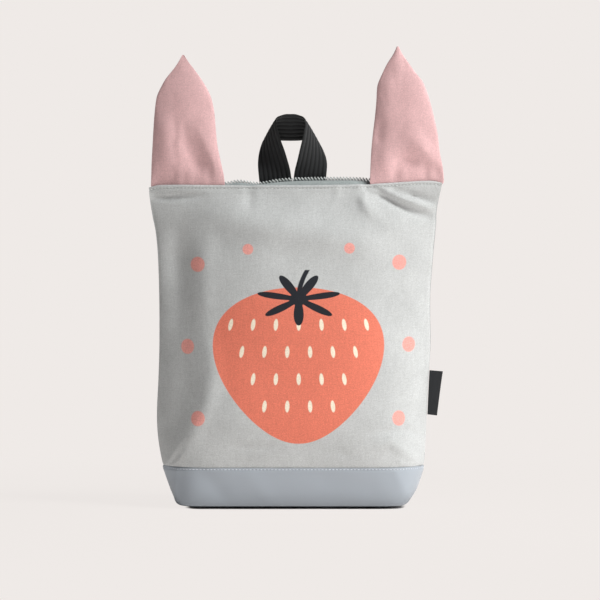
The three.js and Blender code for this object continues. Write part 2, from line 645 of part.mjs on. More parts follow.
function zipTape(face) {
  const sign = face === "front" ? -1 : 1;
  const outer = [[], [], [], []];
  const inner = [[], [], [], []];
  for (let j = 0; j <= TAPE_COLUMNS; j++) {
    const x = (j / TAPE_COLUMNS - 0.5) * TAPE_LENGTH;
    const wall = sign * tapeDepth(face, x);
    const edge = ZIP_SET_BACK + sign * (CHAIN_WIDTH / 2 + GAP);
    const lip = topEdge(x);
    const crest = chainHeight(x);
    const bend = [
      THREE.MathUtils.lerp(wall, edge, TAPE_BEND.across),
      THREE.MathUtils.lerp(lip, crest, TAPE_BEND.rise),
    ];
    const profile = [
      [wall, lip - TAPE_TAB],
      [wall, lip - TAPE],
      bend,
      [edge, crest],
    ];
    const insideProfile = [
      [wall - sign * TAPE, lip - TAPE_TAB],
      [wall - sign * TAPE, lip - 2 * TAPE],
      [bend[0] - sign * TAPE * TAPE_BEND.inset, bend[1] - TAPE],
      [edge, crest - TAPE * TAPE_BEND.drop],
    ];
    profile.forEach(([y, z], i) => outer[i].push(vec(x, y, z)));
    insideProfile.forEach(([y, z], i) => inner[i].push(vec(x, y, z)));
  }
  if (face === "back") [...outer, ...inner].forEach((row) => row.reverse());
  return shell(outer, inner);
}

// The closed teeth: a bar with a tooth and a gap in each pitch, following the chain's wave.
function zipChain() {
  const shape = new THREE.Shape();
  const count = Math.round(ZIP_LENGTH / TOOTH_PITCH);
  const start = -ZIP_LENGTH / 2;
  const pitch = ZIP_LENGTH / count;
  const top = (x) => chainHeight(x) + CHAIN_THICK / 2;
  const bottom = (x) => chainHeight(x) - CHAIN_THICK / 2;
  shape.moveTo(start, bottom(start));
  for (let i = 1; i <= CHAIN_STEPS; i++) {
    const x = start + (i / CHAIN_STEPS) * ZIP_LENGTH;
    shape.lineTo(x, bottom(x));
  }
  for (let i = count; i > 0; i--) {
    const x = start + i * pitch;
    shape.lineTo(x, top(x) - TOOTH_DEPTH);
    shape.lineTo(x - 0.25 * pitch, top(x));
    shape.lineTo(x - 0.75 * pitch, top(x - pitch));
  }
  shape.lineTo(start, top(start) - TOOTH_DEPTH);
  const geometry = new THREE.ExtrudeGeometry(shape, { depth: CHAIN_WIDTH, bevelEnabled: false });
  geometry.rotateX(Math.PI / 2);
  geometry.translate(0, ZIP_SET_BACK + CHAIN_WIDTH / 2, 0);
  return geometry;
}

// A solid for joining and cutting, from a closed geometry.
function solidOf(geometry) {
  const bare = geometry.clone();
  bare.deleteAttribute("normal");
  bare.deleteAttribute("uv");
  const merged = mergeVertices(bare, 1e-4);
  return new wasm.Manifold(
    new wasm.Mesh({
      numProp: 3,
      vertProperties: merged.attributes.position.array,
      triVerts: new Uint32Array(merged.index.array),
    }),
  );
}

function geometryFrom(solid) {
  const mesh = solid.getMesh();
  const geometry = new THREE.BufferGeometry();
  geometry.setAttribute("position", new THREE.BufferAttribute(new Float32Array(mesh.vertProperties), 3));
  geometry.setIndex(new THREE.BufferAttribute(new Uint32Array(mesh.triVerts), 1));
  return geometry;
}

const SLIDER_X = ZIP_LENGTH / 2 - SLIDER_INSET;
const SLIDER_Z = chainHeight(SLIDER_X) + CHAIN_THICK / 2 + GAP; // underside of the slider's plate
const CHAIN_CLIMB =
  (chainHeight(SLIDER_X + SLIDER_LENGTH / 2) - chainHeight(SLIDER_X - SLIDER_LENGTH / 2)) / SLIDER_LENGTH;
const BAIL_HOLE = SLIDER_PLATE + (BAIL_RISE - BAIL_BAR) / 2; // axis of the pull's swing, above SLIDER_Z

// The slider, about its own middle: a plate with turned-down edges over the chain, and a bail on top.
function zipSlider() {
  const plate = new THREE.Shape();
  const half = SLIDER_WIDTH / 2;
  const channel = CHAIN_WIDTH / 2 + GAP;
  plate.moveTo(-half, -SLIDER_SKIRT);
  plate.lineTo(-channel, -SLIDER_SKIRT);
  plate.lineTo(-channel, 0);
  plate.lineTo(channel, 0);
  plate.lineTo(channel, -SLIDER_SKIRT);
  plate.lineTo(half, -SLIDER_SKIRT);
  plate.lineTo(half, SLIDER_PLATE - SLIDER_BEVEL);
  plate.lineTo(half - SLIDER_BEVEL, SLIDER_PLATE);
  plate.lineTo(-half + SLIDER_BEVEL, SLIDER_PLATE);
  plate.lineTo(-half, SLIDER_PLATE - SLIDER_BEVEL);
  plate.closePath();
  const body = new THREE.ExtrudeGeometry(plate, { depth: SLIDER_LENGTH, bevelEnabled: false });
  body.rotateX(Math.PI / 2);
  body.rotateZ(Math.PI / 2);
  body.translate(-SLIDER_LENGTH / 2, 0, 0);

  const arch = new THREE.Shape();
  const reach = BAIL_LENGTH / 2;
  const low = SLIDER_PLATE / 2;
  const high = SLIDER_PLATE + BAIL_RISE;
  arch.moveTo(-reach, low);
  arch.lineTo(reach, low);
  arch.lineTo(reach, high - BAIL_BAR);
  arch.lineTo(reach - BAIL_BAR, high);
  arch.lineTo(-reach + BAIL_BAR, high);
  arch.lineTo(-reach, high - BAIL_BAR);
  arch.closePath();
  const hole = new THREE.Path();
  const inset = BAIL_LENGTH / 2 - BAIL_BAR;
  hole.moveTo(-inset, SLIDER_PLATE);
  hole.lineTo(-inset, high - BAIL_BAR);
  hole.lineTo(inset, high - BAIL_BAR);
  hole.lineTo(inset, SLIDER_PLATE);
  hole.closePath();
  arch.holes.push(hole);
  const bail = new THREE.ExtrudeGeometry(arch, { depth: BAIL_WIDTH, bevelEnabled: false });
  bail.rotateX(Math.PI / 2);
  bail.translate(0, BAIL_WIDTH / 2, 0);
  return geometryFrom(solidOf(body).add(solidOf(bail)));
}

// The pull, lying along -X from the middle of its cross bar.
function zipPull() {
  const shape = new THREE.Shape();
  const half = PULL_WIDTH / 2;
  const bar = PULL_THICK;
  const tip = PULL_LENGTH;
  const corner = PULL_CORNER;
  shape.moveTo(bar / 2, -half);
  shape.lineTo(bar / 2, half);
  shape.lineTo(-tip + corner, half);
  shape.lineTo(-tip, half - corner);
  shape.lineTo(-tip, -half + corner);
  shape.lineTo(-tip + corner, -half);
  shape.closePath();
  const eye = new THREE.Path();
  const eyeHalf = BAIL_WIDTH / 2 + GAP;
  eye.moveTo(-bar / 2, -eyeHalf);
  eye.lineTo(-bar / 2 - PULL_EYE, -eyeHalf);
  eye.lineTo(-bar / 2 - PULL_EYE, eyeHalf);
  eye.lineTo(-bar / 2, eyeHalf);
  eye.closePath();
  shape.holes.push(eye);
  const geometry = new THREE.ExtrudeGeometry(shape, { depth: PULL_THICK, bevelEnabled: false });
  return geometry.translate(0, 0, -PULL_THICK / 2);
}

// Webbing

// Closed sheet of a thickness about a grid of points, as in shell.
function sheet(grid, thickness) {
  const rows = grid.length - 1;
  const columns = grid[0].length - 1;
  const sides = [1, -1].map((side) =>
    grid.map((row, i) =>
      row.map((point, j) => {
        const right = row[Math.min(columns, j + 1)].clone().sub(row[Math.max(0, j - 1)]);
        const up = grid[Math.min(rows, i + 1)][j].clone().sub(grid[Math.max(0, i - 1)][j]);
        const normal = right.cross(up).normalize();
        return point.clone().addScaledVector(normal, (side * thickness) / 2);
      }),
    ),
  );
  return shell(sides[0], sides[1]);
}

// Webbing along stations { point, across }, with its width along across.
function band(stations) {
  const last = stations.length - 1;
  const grid = stations.map(({ point, across }, i) => {
    const before = stations[Math.max(0, i - 1)].point;
    const after = stations[Math.min(last, i + 1)].point;
    const tangent = after.clone().sub(before).normalize();
    const wide = across.clone().addScaledVector(tangent, -across.dot(tangent)).normalize();
    return [-0.5, 0.5].map((side) => point.clone().addScaledVector(wide, side * WEBBING_WIDTH));
  });
  return sheet(grid, WEBBING);
}

// The carrying loop: both feet stand side by side behind the zip, and the band turns its inside to the front.
function carryingLoop() {
  const foot = topEdge(LOOP_OFFSET);
  const last = LOOP_ROWS.length - 1;
  const numbered = LOOP_ROWS.map((row, i) => ({ ...row, place: i / last }));
  const cross = (side, share, below) => {
    const get = (column) => along(numbered, "place", column, share);
    const edge = (key) => {
      const x = side * get(key + "Across") * WEBBING_WIDTH;
      return vec(x, 0, get(key + "Up") * LOOP_RISE - below);
    };
    const near = edge("near");
    const rear = edge("rear");
    const turn = Math.sqrt(Math.max(0, WEBBING_WIDTH ** 2 - near.distanceToSquared(rear)));
    near.y = -turn / 2;
    rear.y = turn / 2;
    const bow = vec(side, 0, 1).multiplyScalar(get("crown") * WEBBING_WIDTH);
    const line = [];
    for (let j = 0; j <= LOOP_STRIPS; j++) {
      const s = j / LOOP_STRIPS;
      const point = rear.clone().lerp(near, s).addScaledVector(bow, 4 * s * (1 - s));
      line.push(point.add(vec(LOOP_OFFSET, LOOP_DEPTH, foot)));
    }
    return line;
  };
  const half = LOOP_STEPS / 2;
  const grid = [cross(-1, 0, LOOP_TAB)];
  for (let i = 0; i <= half; i++) grid.push(cross(-1, i / half, 0));
  for (let i = half - 1; i >= 0; i--) grid.push(cross(1, i / half, 0));
  grid.push(cross(1, 0, LOOP_TAB));
  return sheet(grid, WEBBING);
}

// Point of a shoulder strap's middle at a height on the route, with the direction of its width.
function strapStation(side, { across, height, out }) {
  const x = (side * across * TOP_WIDTH) / 2;
  const surface = (at) => depthAt("back", at, height, 0);
  const slope = (surface(x + 1) - surface(x - 1)) / 2;
  const hug = 1 - Math.min(1, out * STRAP_HUG);
  const y = surface(x) + GAP + WEBBING / 2 + out * STRAP_BOW + hug * (GAP + Math.abs(slope) * STRAP_EASE);
  const z = Math.max(height * BODY_HEIGHT, WEBBING);
  return { point: vec(x, y, z), across: vec(1, slope * hug, 0) };
}

// The strap's route as closely spaced stations.
function strapRoute(side) {
  const rows = STRAP_ROUTE.map((row) => strapStation(side, row));
  const curve = new THREE.CatmullRomCurve3(
    rows.map((row) => row.point),
    false,
    "centripetal",
  );
  const steps = Math.round(curve.getLength() / STRAP_STEP);
  const stations = [];
  for (let i = 0; i <= steps; i++) {
    const t = curve.getUtoTmapping(i / steps);
    const place = t * (rows.length - 1);
    const k = Math.min(rows.length - 2, Math.floor(place));
    stations.push({
      point: curve.getPoint(t),
      across: rows[k].across.clone().lerp(rows[k + 1].across, place - k),
    });
  }
  return stations;
}

// Heights inside a ladder lock, from its middle, upwards along the strap.
const LOCK = (() => {
  const middleTop = LOCK_MIDDLE;
  const upperLow = middleTop + LOCK_SLOT;
  const middleLow = middleTop - LOCK_BAR;
  const lowerTop = middleLow - LOCK_LOWER_SLOT;
  return { middleTop, upperLow, middleLow, lowerTop, top: upperLow + LOCK_BAR, bottom: lowerTop - LOCK_BAR };
})();

// The frame of a strap's ladder lock: x along the width, y outwards, z upwards along the strap.
function lockFrame(stations) {
  let k = 0;
  while (stations[k].point.z > LOCK_AT * BODY_HEIGHT) k++;
  const up = stations[k - 1].point.clone().sub(stations[k + 1].point).normalize();
  const wide = stations[k].across.clone().addScaledVector(up, -stations[k].across.dot(up)).normalize();
  const outwards = new THREE.Vector3().crossVectors(up, wide).normalize();
  const frame = new THREE.Matrix4().makeBasis(wide, outwards, up).setPosition(stations[k].point);
  return { frame, k, wide };
}

// Stations of a turn of webbing in a lock's frame, from points [outwards, upwards].
const inLock = ({ frame, wide }, route) =>
  route.map(([y, z]) => ({ point: vec(0, y, z).applyMatrix4(frame), across: wide.clone() }));

const STAND_OFF = LOCK_THICK / 2 + GAP + WEBBING / 2; // middle of the webbing to the lock's middle plane
const PLY = WEBBING + GAP; // middle to middle of two plies

// Half circle round a bar from behind to the front. turn is 1 over its top and -1 under its bottom.
function roundBar(z, turn) {
  const points = [];
  for (let i = 0; i <= LOCK_TURN_STEPS; i++) {
    const angle = (Math.PI * i) / LOCK_TURN_STEPS;
    points.push([-STAND_OFF * Math.cos(angle), z + turn * STAND_OFF * Math.sin(angle)]);
  }
  return points;
}

// Parts of the route clear of the lock by a length, above or below it.
function routeBeyond(stations, lock, distance, above) {
  const centre = stations[lock.k].point;
  const part = above ? stations.slice(0, lock.k) : stations.slice(lock.k + 1);
  return part.filter(({ point }) => point.distanceTo(centre) > distance);
}

function strapUpper(side) {
  const stations = strapRoute(side);
  const lock = lockFrame(stations);
  const place = ({ stand, lap, up }) => [stand * STAND_OFF + lap * PLY, LOCK.top + up * STRAP_FOLD];
  const turn = [...FOLD_BEHIND.map(place), ...roundBar(LOCK.upperLow, -1), ...FOLD_IN_FRONT.map(place)];
  return band([...routeBeyond(stations, lock, LOCK.top + STRAP_RELEASE, true), ...inLock(lock, turn)]);
}

function strapLower(side) {
  const stations = strapRoute(side);
  const lock = lockFrame(stations);
  const place = ({ stand, down }) => [stand * STAND_OFF, LOCK.bottom - down * STRAP_TAIL];
  const bar = roundBar(LOCK.middleTop, 1).reverse();
  const turn = [...TAIL_IN_FRONT.map(place), ...bar, ...TAIL_BEHIND.map(place)];
  const below = routeBeyond(stations, lock, STRAP_RELEASE - LOCK.bottom, false);
  return band([...inLock(lock, turn), ...below]);
}

function ladderLock() {
  const half = LOCK_WIDTH / 2;
  const corner = LOCK_CORNER;
  const shape = new THREE.Shape();
  shape.moveTo(-half + corner, LOCK.bottom);
  shape.lineTo(half - corner, LOCK.bottom);
  shape.lineTo(half, LOCK.bottom + corner);
  shape.lineTo(half, LOCK.top - corner);
  shape.lineTo(half - corner, LOCK.top);
  shape.lineTo(-half + corner, LOCK.top);
  shape.lineTo(-half, LOCK.top - corner);
  shape.lineTo(-half, LOCK.bottom + corner);
  shape.closePath();
  const slotHalf = WEBBING_WIDTH / 2 + 2 * GAP;
  for (const [low, high] of [
    [LOCK.middleTop, LOCK.upperLow],
    [LOCK.lowerTop, LOCK.middleLow],
  ]) {
    const slot = new THREE.Path();
    slot.moveTo(-slotHalf, low);
    slot.lineTo(-slotHalf, high);
    slot.lineTo(slotHalf, high);
    slot.lineTo(slotHalf, low);
    slot.closePath();
    shape.holes.push(slot);
  }
  const geometry = new THREE.ExtrudeGeometry(shape, { depth: LOCK_THICK, bevelEnabled: false });
  geometry.rotateX(Math.PI / 2);
  return geometry.translate(0, LOCK_THICK / 2, 0);
}

// Side label: a folded tab that stands out of the right side seam.
function sideLabel() {
  const seam = (z) => (TOP_WIDTH / 2) * section("right", z / BODY_HEIGHT) + GAP;
  const low = LABEL_TOP - LABEL_HEIGHT;
  const shape = new THREE.Shape();
  shape.moveTo(seam(low), low);
  shape.lineTo(seam(low) + LABEL_LOWER_REACH, low - LABEL_DROOP);
  shape.lineTo(seam(LABEL_TOP) + LABEL_REACH, LABEL_TOP - LABEL_DROOP);
  for (let i = 0; i < LABEL_STEPS; i++) {
    const z = LABEL_TOP - (i / LABEL_STEPS) * LABEL_HEIGHT;
    shape.lineTo(seam(z), z);
  }
  shape.closePath();
  const geometry = new THREE.ExtrudeGeometry(shape, { depth: LABEL_THICK, bevelEnabled: false });
  geometry.rotateX(Math.PI / 2);
  return geometry.translate(0, LABEL_THICK / 2, 0);
}

// Assembly

const backpack = new THREE.Group();

function add(name, geometry, finish, parent = backpack) {
  const mesh = new THREE.Mesh(geometry, new THREE.MeshStandardMaterial(COLOURS[finish]));
  mesh.name = name;
  parent.add(mesh);
  return mesh;
}

add("front_panel", panel("front", FRONT_FOLDS), "canvas");
add("back_panel", panel("back", []), "canvas");
add("base_shell", baseShell(), "leatherette");
add("ear_left", ear(EARS.left), "cotton");
add("ear_right", ear(EARS.right), "cotton");
add("zip_tape_front", zipTape("front"), "tape");
add("zip_tape_back", zipTape("back"), "tape");
add("zip_chain", zipChain(), "teeth");
add("carrying_loop", carryingLoop(), "webbing");
add("side_label", sideLabel(), "label");

// The slider and its pull follow the chain's climb.
const runner = new THREE.Group();
runner.position.set(SLIDER_X, ZIP_SET_BACK, SLIDER_Z);
runner.rotation.y = -Math.atan(CHAIN_CLIMB);
backpack.add(runner);
add("zip_slider", zipSlider(), "metal", runner);
const pull = add("zip_pull", zipPull(), "metal", runner);
pull.position.z = BAIL_HOLE;
pull.rotation.y = -THREE.MathUtils.degToRad(PULL_REST_TILT);

for (const [name, side] of [
  ["left", -1],
  ["right", 1],
]) {
  add(`strap_${name}_upper`, strapUpper(side), "webbing");
  add(`strap_${name}_lower`, strapLower(side), "webbing");
  const holder = new THREE.Group();
  holder.applyMatrix4(lockFrame(strapRoute(side)).frame);
  add(`ladder_lock_${name}`, ladderLock(), "lock", holder);
  backpack.add(holder);
}

export default backpack;
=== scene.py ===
"""A small child's animal backpack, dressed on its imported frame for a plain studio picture.

Lengths are in millimetres until a mesh is made, and each finished piece lies in the row's frame in metres.
The front faces -Y, +X is to the right seen from the front, and the base stands on z = 0.
"""

import logging
import math
from dataclasses import dataclass, field
from enum import Enum
from typing import Sequence

import bmesh
import bpy
import numpy as np
from mathutils import Matrix, Vector, noise


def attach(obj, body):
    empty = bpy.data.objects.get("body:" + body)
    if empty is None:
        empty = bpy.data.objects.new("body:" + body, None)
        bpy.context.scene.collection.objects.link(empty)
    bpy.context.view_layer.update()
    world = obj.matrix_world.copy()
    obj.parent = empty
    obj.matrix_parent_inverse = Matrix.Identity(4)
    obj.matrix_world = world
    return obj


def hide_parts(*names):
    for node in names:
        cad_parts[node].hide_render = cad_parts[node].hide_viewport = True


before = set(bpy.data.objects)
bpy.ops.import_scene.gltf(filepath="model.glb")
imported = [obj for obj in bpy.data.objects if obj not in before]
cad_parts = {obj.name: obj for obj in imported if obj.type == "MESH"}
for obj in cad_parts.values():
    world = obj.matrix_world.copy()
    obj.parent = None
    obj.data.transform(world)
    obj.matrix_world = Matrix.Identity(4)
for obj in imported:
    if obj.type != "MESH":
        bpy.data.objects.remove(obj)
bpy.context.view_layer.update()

MM = 0.001
CLOTH_UV = "cloth"
LOG = logging.getLogger("backpack")


class Slot(Enum):
    """The record's material slots."""

    CANVAS = "canvas"
    LEATHERETTE = "leatherette"
    COTTON = "cotton"
    WEBBING = "webbing"
    TAPE = "tape"
    TEETH = "teeth"
    METAL = "metal"
    LOCK = "lock"
    LABEL = "label"


class Body(Enum):
    """The bodies of the frame."""

    BAG = "bag"
    PULL = "pull"


class Face(Enum):
    """The two faces of the pouch, with the sign of their depth."""

    FRONT = -1
    BACK = 1


class Side(Enum):
    """Left and right seen from the front, with the sign of x."""

    LEFT = -1
    RIGHT = 1


class Weave(Enum):
    """How the threads of a cloth cross."""

    PLAIN = "plain"
    RIBBED = "ribbed"
    HERRINGBONE = "herringbone"


# Tables and curves


class Table:
    """Rows of shares under named columns, with a smooth value between the rows."""

    def __init__(self, columns: str, rows: Sequence[Sequence[float]]) -> None:
        """Reads the rows.

        Args:
            columns: The columns' names, the first of which orders the rows.
            rows: The numbers, one row each.
        """
        names = columns.split()
        self.columns = dict(zip(names, np.array(rows, float).T))
        self.place = self.columns[names[0]]

    def at(self, column: str, place: np.ndarray | float) -> np.ndarray:
        """Smooth value of a column.

        Args:
            column: The column's name.
            place: Where along the first column.

        Returns:
            The value at each place.
        """
        x, y = self.place, self.columns[column]
        last = len(x) - 1
        place = np.clip(np.asarray(place, float), x[0], x[-1])
        i = np.clip(np.searchsorted(x, place, side="left") - 1, 0, last - 1)
        before, after = np.maximum(np.arange(last + 1) - 1, 0), np.minimum(np.arange(last + 1) + 1, last)
        slope = (y[after] - y[before]) / (x[after] - x[before])
        span = x[i + 1] - x[i]
        t = (place - x[i]) / span
        u = 1 - t
        return (
            (1 + 2 * t) * u * u * y[i]
            + t * u * u * span * slope[i]
            + t * t * (3 - 2 * t) * y[i + 1]
            - t * t * u * span * slope[i + 1]
        )


def ramp(low: float, high: float, value: np.ndarray | float) -> np.ndarray:
    """0 below low, 1 above high and smooth between."""
    t = np.clip((np.asarray(value, float) - low) / (high - low), 0, 1)
    return t * t * (3 - 2 * t)


def unit(vectors: np.ndarray) -> np.ndarray:
    """The vectors at length 1."""
    return vectors / np.maximum(np.linalg.norm(vectors, axis=-1, keepdims=True), 1e-9)


def curve_through(points: np.ndarray, shares: np.ndarray) -> np.ndarray:
    """Places on the centripetal curve through points.

    Args:
        points: The curve's stations, one row each.
        shares: Where, from 0 at the first station to 1 at the last, with an even share for each step.

    Returns:
        One point for each share.
    """
    last = len(points) - 1
    ends = np.vstack([2 * points[0] - points[1], points, 2 * points[-1] - points[-2]])
    place = np.clip(shares, 0, 1) * last
    i = np.minimum(place.astype(int), last - 1)
    t = (place - i)[:, None]
    a, b, c, d = (ends[i + k] for k in range(4))
    before, here, after = (np.sqrt(np.linalg.norm(q - p, axis=1))[:, None] for p, q in ((a, b), (b, c), (c, d)))
    leave = ((b - a) / before - (c - a) / (before + here) + (c - b) / here) * here
    arrive = ((c - b) / here - (d - b) / (here + after) + (d - c) / after) * here
    return b + leave * t + (3 * (c - b) - 2 * leave - arrive) * t**2 + (2 * (b - c) + leave + arrive) * t**3


def shares_by_length(points: np.ndarray, count: int, fine: int = 200) -> np.ndarray:
    """Shares of the curve through points that lie evenly along its length.

    Args:
        points: The curve's stations.
        count: How many steps are wanted.
        fine: How many short steps measure the curve.

    Returns:
        count + 1 shares for curve_through.
    """
    even = np.linspace(0, 1, fine + 1)
    line = curve_through(points, even)
    length = np.concatenate([[0], np.cumsum(np.linalg.norm(np.diff(line, axis=0), axis=1))])
    return np.interp(np.linspace(0, length[-1], count + 1), length, even)


def length_of(points: np.ndarray, fine: int = 200) -> float:
    """Length of the curve through points."""
    line = curve_through(points, np.linspace(0, 1, fine + 1))
    return float(np.linalg.norm(np.diff(line, axis=0), axis=1).sum())


def ripple(x: np.ndarray, z: np.ndarray, size: float, layer: float) -> np.ndarray:
    """Soft uneven height between about -1 and 1.

    Args:
        x: Places across, in millimetres.
        z: Places upwards, in millimetres.
        size: Distance from one rise to the next, in millimetres.
        layer: Picks one of many patterns.

    Returns:
        A height for each place.
    """
    flat = [noise.noise(Vector((a / size, b / size, layer))) for a, b in zip(np.ravel(x), np.ravel(z))]
    return np.array(flat).reshape(np.shape(x)) * 1.6


# Node trees


class Field:
    """A value over a surface, with arithmetic that adds the nodes it needs."""

    def __init__(self, graph: "Graph", socket: bpy.types.NodeSocket) -> None:
        """Wraps a socket.

        Args:
            graph: The tree that the socket is in.
            socket: The output that gives the value.
        """
        self.graph = graph
        self.socket = socket

    def math(self, operation: str, *others: "Field | float", first: bool = True) -> "Field":
        """One Math node.

        Args:
            operation: The node's operation.
            others: The values that it also takes.
            first: Whether this value comes before the others.

        Returns:
            The node's result.
        """
        values = [self, *others] if first else [*others, self]
        node = self.graph.node("ShaderNodeMath", {"operation": operation}, dict(enumerate(values)))
        return Field(self.graph, node.outputs[0])

    def __add__(self, other: "Field | float") -> "Field":
        """Sum."""
        return self.math("ADD", other)

    def __sub__(self, other: "Field | float") -> "Field":
        """Difference."""
        return self.math("SUBTRACT", other)

    def __rsub__(self, other: float) -> "Field":
        """Difference from a number."""
        return self.math("SUBTRACT", other, first=False)

    def __mul__(self, other: "Field | float") -> "Field":
        """Product."""
        return self.math("MULTIPLY", other)

    def __truediv__(self, other: "Field | float") -> "Field":
        """Quotient."""
        return self.math("DIVIDE", other)

    def __rtruediv__(self, other: float) -> "Field":
        """Quotient of a number by this."""
        return self.math("DIVIDE", other, first=False)

    def __pow__(self, other: float) -> "Field":
        """Power."""
        return self.math("POWER", other)

    def __abs__(self) -> "Field":
        """Size without its sign."""
        return self.math("ABSOLUTE")

    __radd__ = __add__
    __rmul__ = __mul__

    def sine(self) -> "Field":
        """Sine."""
        return self.math("SINE")

    def cosine(self) -> "Field":
        """Cosine."""
        return self.math("COSINE")

    def root(self) -> "Field":
        """Square root, of 0 where the value is negative."""
        return self.math("MAXIMUM", 0.0).math("SQRT")

    def ramp(self, low: float, high: float) -> "Field":
        """0 at low, 1 at high and smooth between, also where high is below low."""
        node = self.graph.node(
            "ShaderNodeMapRange",
            {"interpolation_type": "SMOOTHSTEP"},
            {"Value": self, "From Min": low, "From Max": high},
        )
        return Field(self.graph, node.outputs[0])


Sockets = dict[str | int, object]


class Graph:
    """Adds nodes to one tree."""

    def __init__(self, tree: bpy.types.NodeTree) -> None:
        """Starts on a tree.

        Args:
            tree: A material's, world's or Geometry Nodes tree.
        """
        self.tree = tree

    def node(self, kind: str, settings: dict[str, object] | None = None, inputs: Sockets | None = None) -> bpy.types.Node:
        """Adds one node.

        Args:
            kind: The node's type.
            settings: Its properties, which are set first.
            inputs: Values or links of its sockets, by name or number.

        Returns:
            The node.
        """
        made = self.tree.nodes.new(kind)
        for name, value in (settings or {}).items():
            setattr(made, name, value)
        for name, value in (inputs or {}).items():
            if isinstance(value, Field):
                value = value.socket
            if isinstance(value, bpy.types.NodeSocket):
                self.tree.links.new(value, made.inputs[name])
            else:
                made.inputs[name].default_value = value
        return made

    def field(self, kind: str, settings: dict[str, object] | None = None, inputs: Sockets | None = None, out: int | str = 0) -> Field:
        """Adds one node and gives one of its outputs.

        Args:
            kind: The node's type.
            settings: Its properties.
            inputs: Values or links of its sockets.
            out: The wanted output, by name or number.

        Returns:
            The output.
        """
        return Field(self, self.node(kind, settings, inputs).outputs[out])

    def parts(self, vector: Field) -> tuple[Field, Field, Field]:
        """The three numbers of a vector."""
        node = self.node("ShaderNodeSeparateXYZ", inputs={0: vector})
        return tuple(Field(self, node.outputs[i]) for i in range(3))

    def vector(self, x: Field | float, y: Field | float, z: Field | float) -> Field:
        """A vector of three values."""
        return self.field("ShaderNodeCombineXYZ", inputs={0: x, 1: y, 2: z})

    def noise(self, place: Field, size: float, detail: float = 2.0) -> Field:
        """Uneven value between 0 and 1.

        Args:
            place: Where, in metres.
            size: Distance from one rise to the next, in millimetres.
            detail: How many finer layers it has.

        Returns:
            The value.
        """
        inputs = {"Vector": place, "Scale": 1 / (size * MM), "Detail": detail}
        return self.field("ShaderNodeTexNoise", inputs=inputs)

    def mix(self, share: Field | float, below: "Field | tuple", above: "Field | tuple") -> Field:
        """Colour between two others.

        Args:
            share: 0 for below and 1 for above.
            below: A colour.
            above: A colour.

        Returns:
            The mixed colour.
        """
        return self.field("ShaderNodeMix", {"data_type": "RGBA"}, {0: share, 6: below, 7: above}, 2)


def shade(red: float, green: float, blue: float) -> tuple[float, float, float, float]:
    """A colour from the usual 0 to 255 numbers, as the shaders take it."""
    spread = [c / 255 / 12.92 if c <= 10 else ((c / 255 + 0.055) / 1.055) ** 2.4 for c in (red, green, blue)]
    return (*spread, 1.0)


def times(colour: tuple, share: float) -> tuple[float, float, float, float]:
    """A colour made darker or lighter by a share."""
    return (*(min(1.0, c * share) for c in colour[:3]), 1.0)


# Finishes


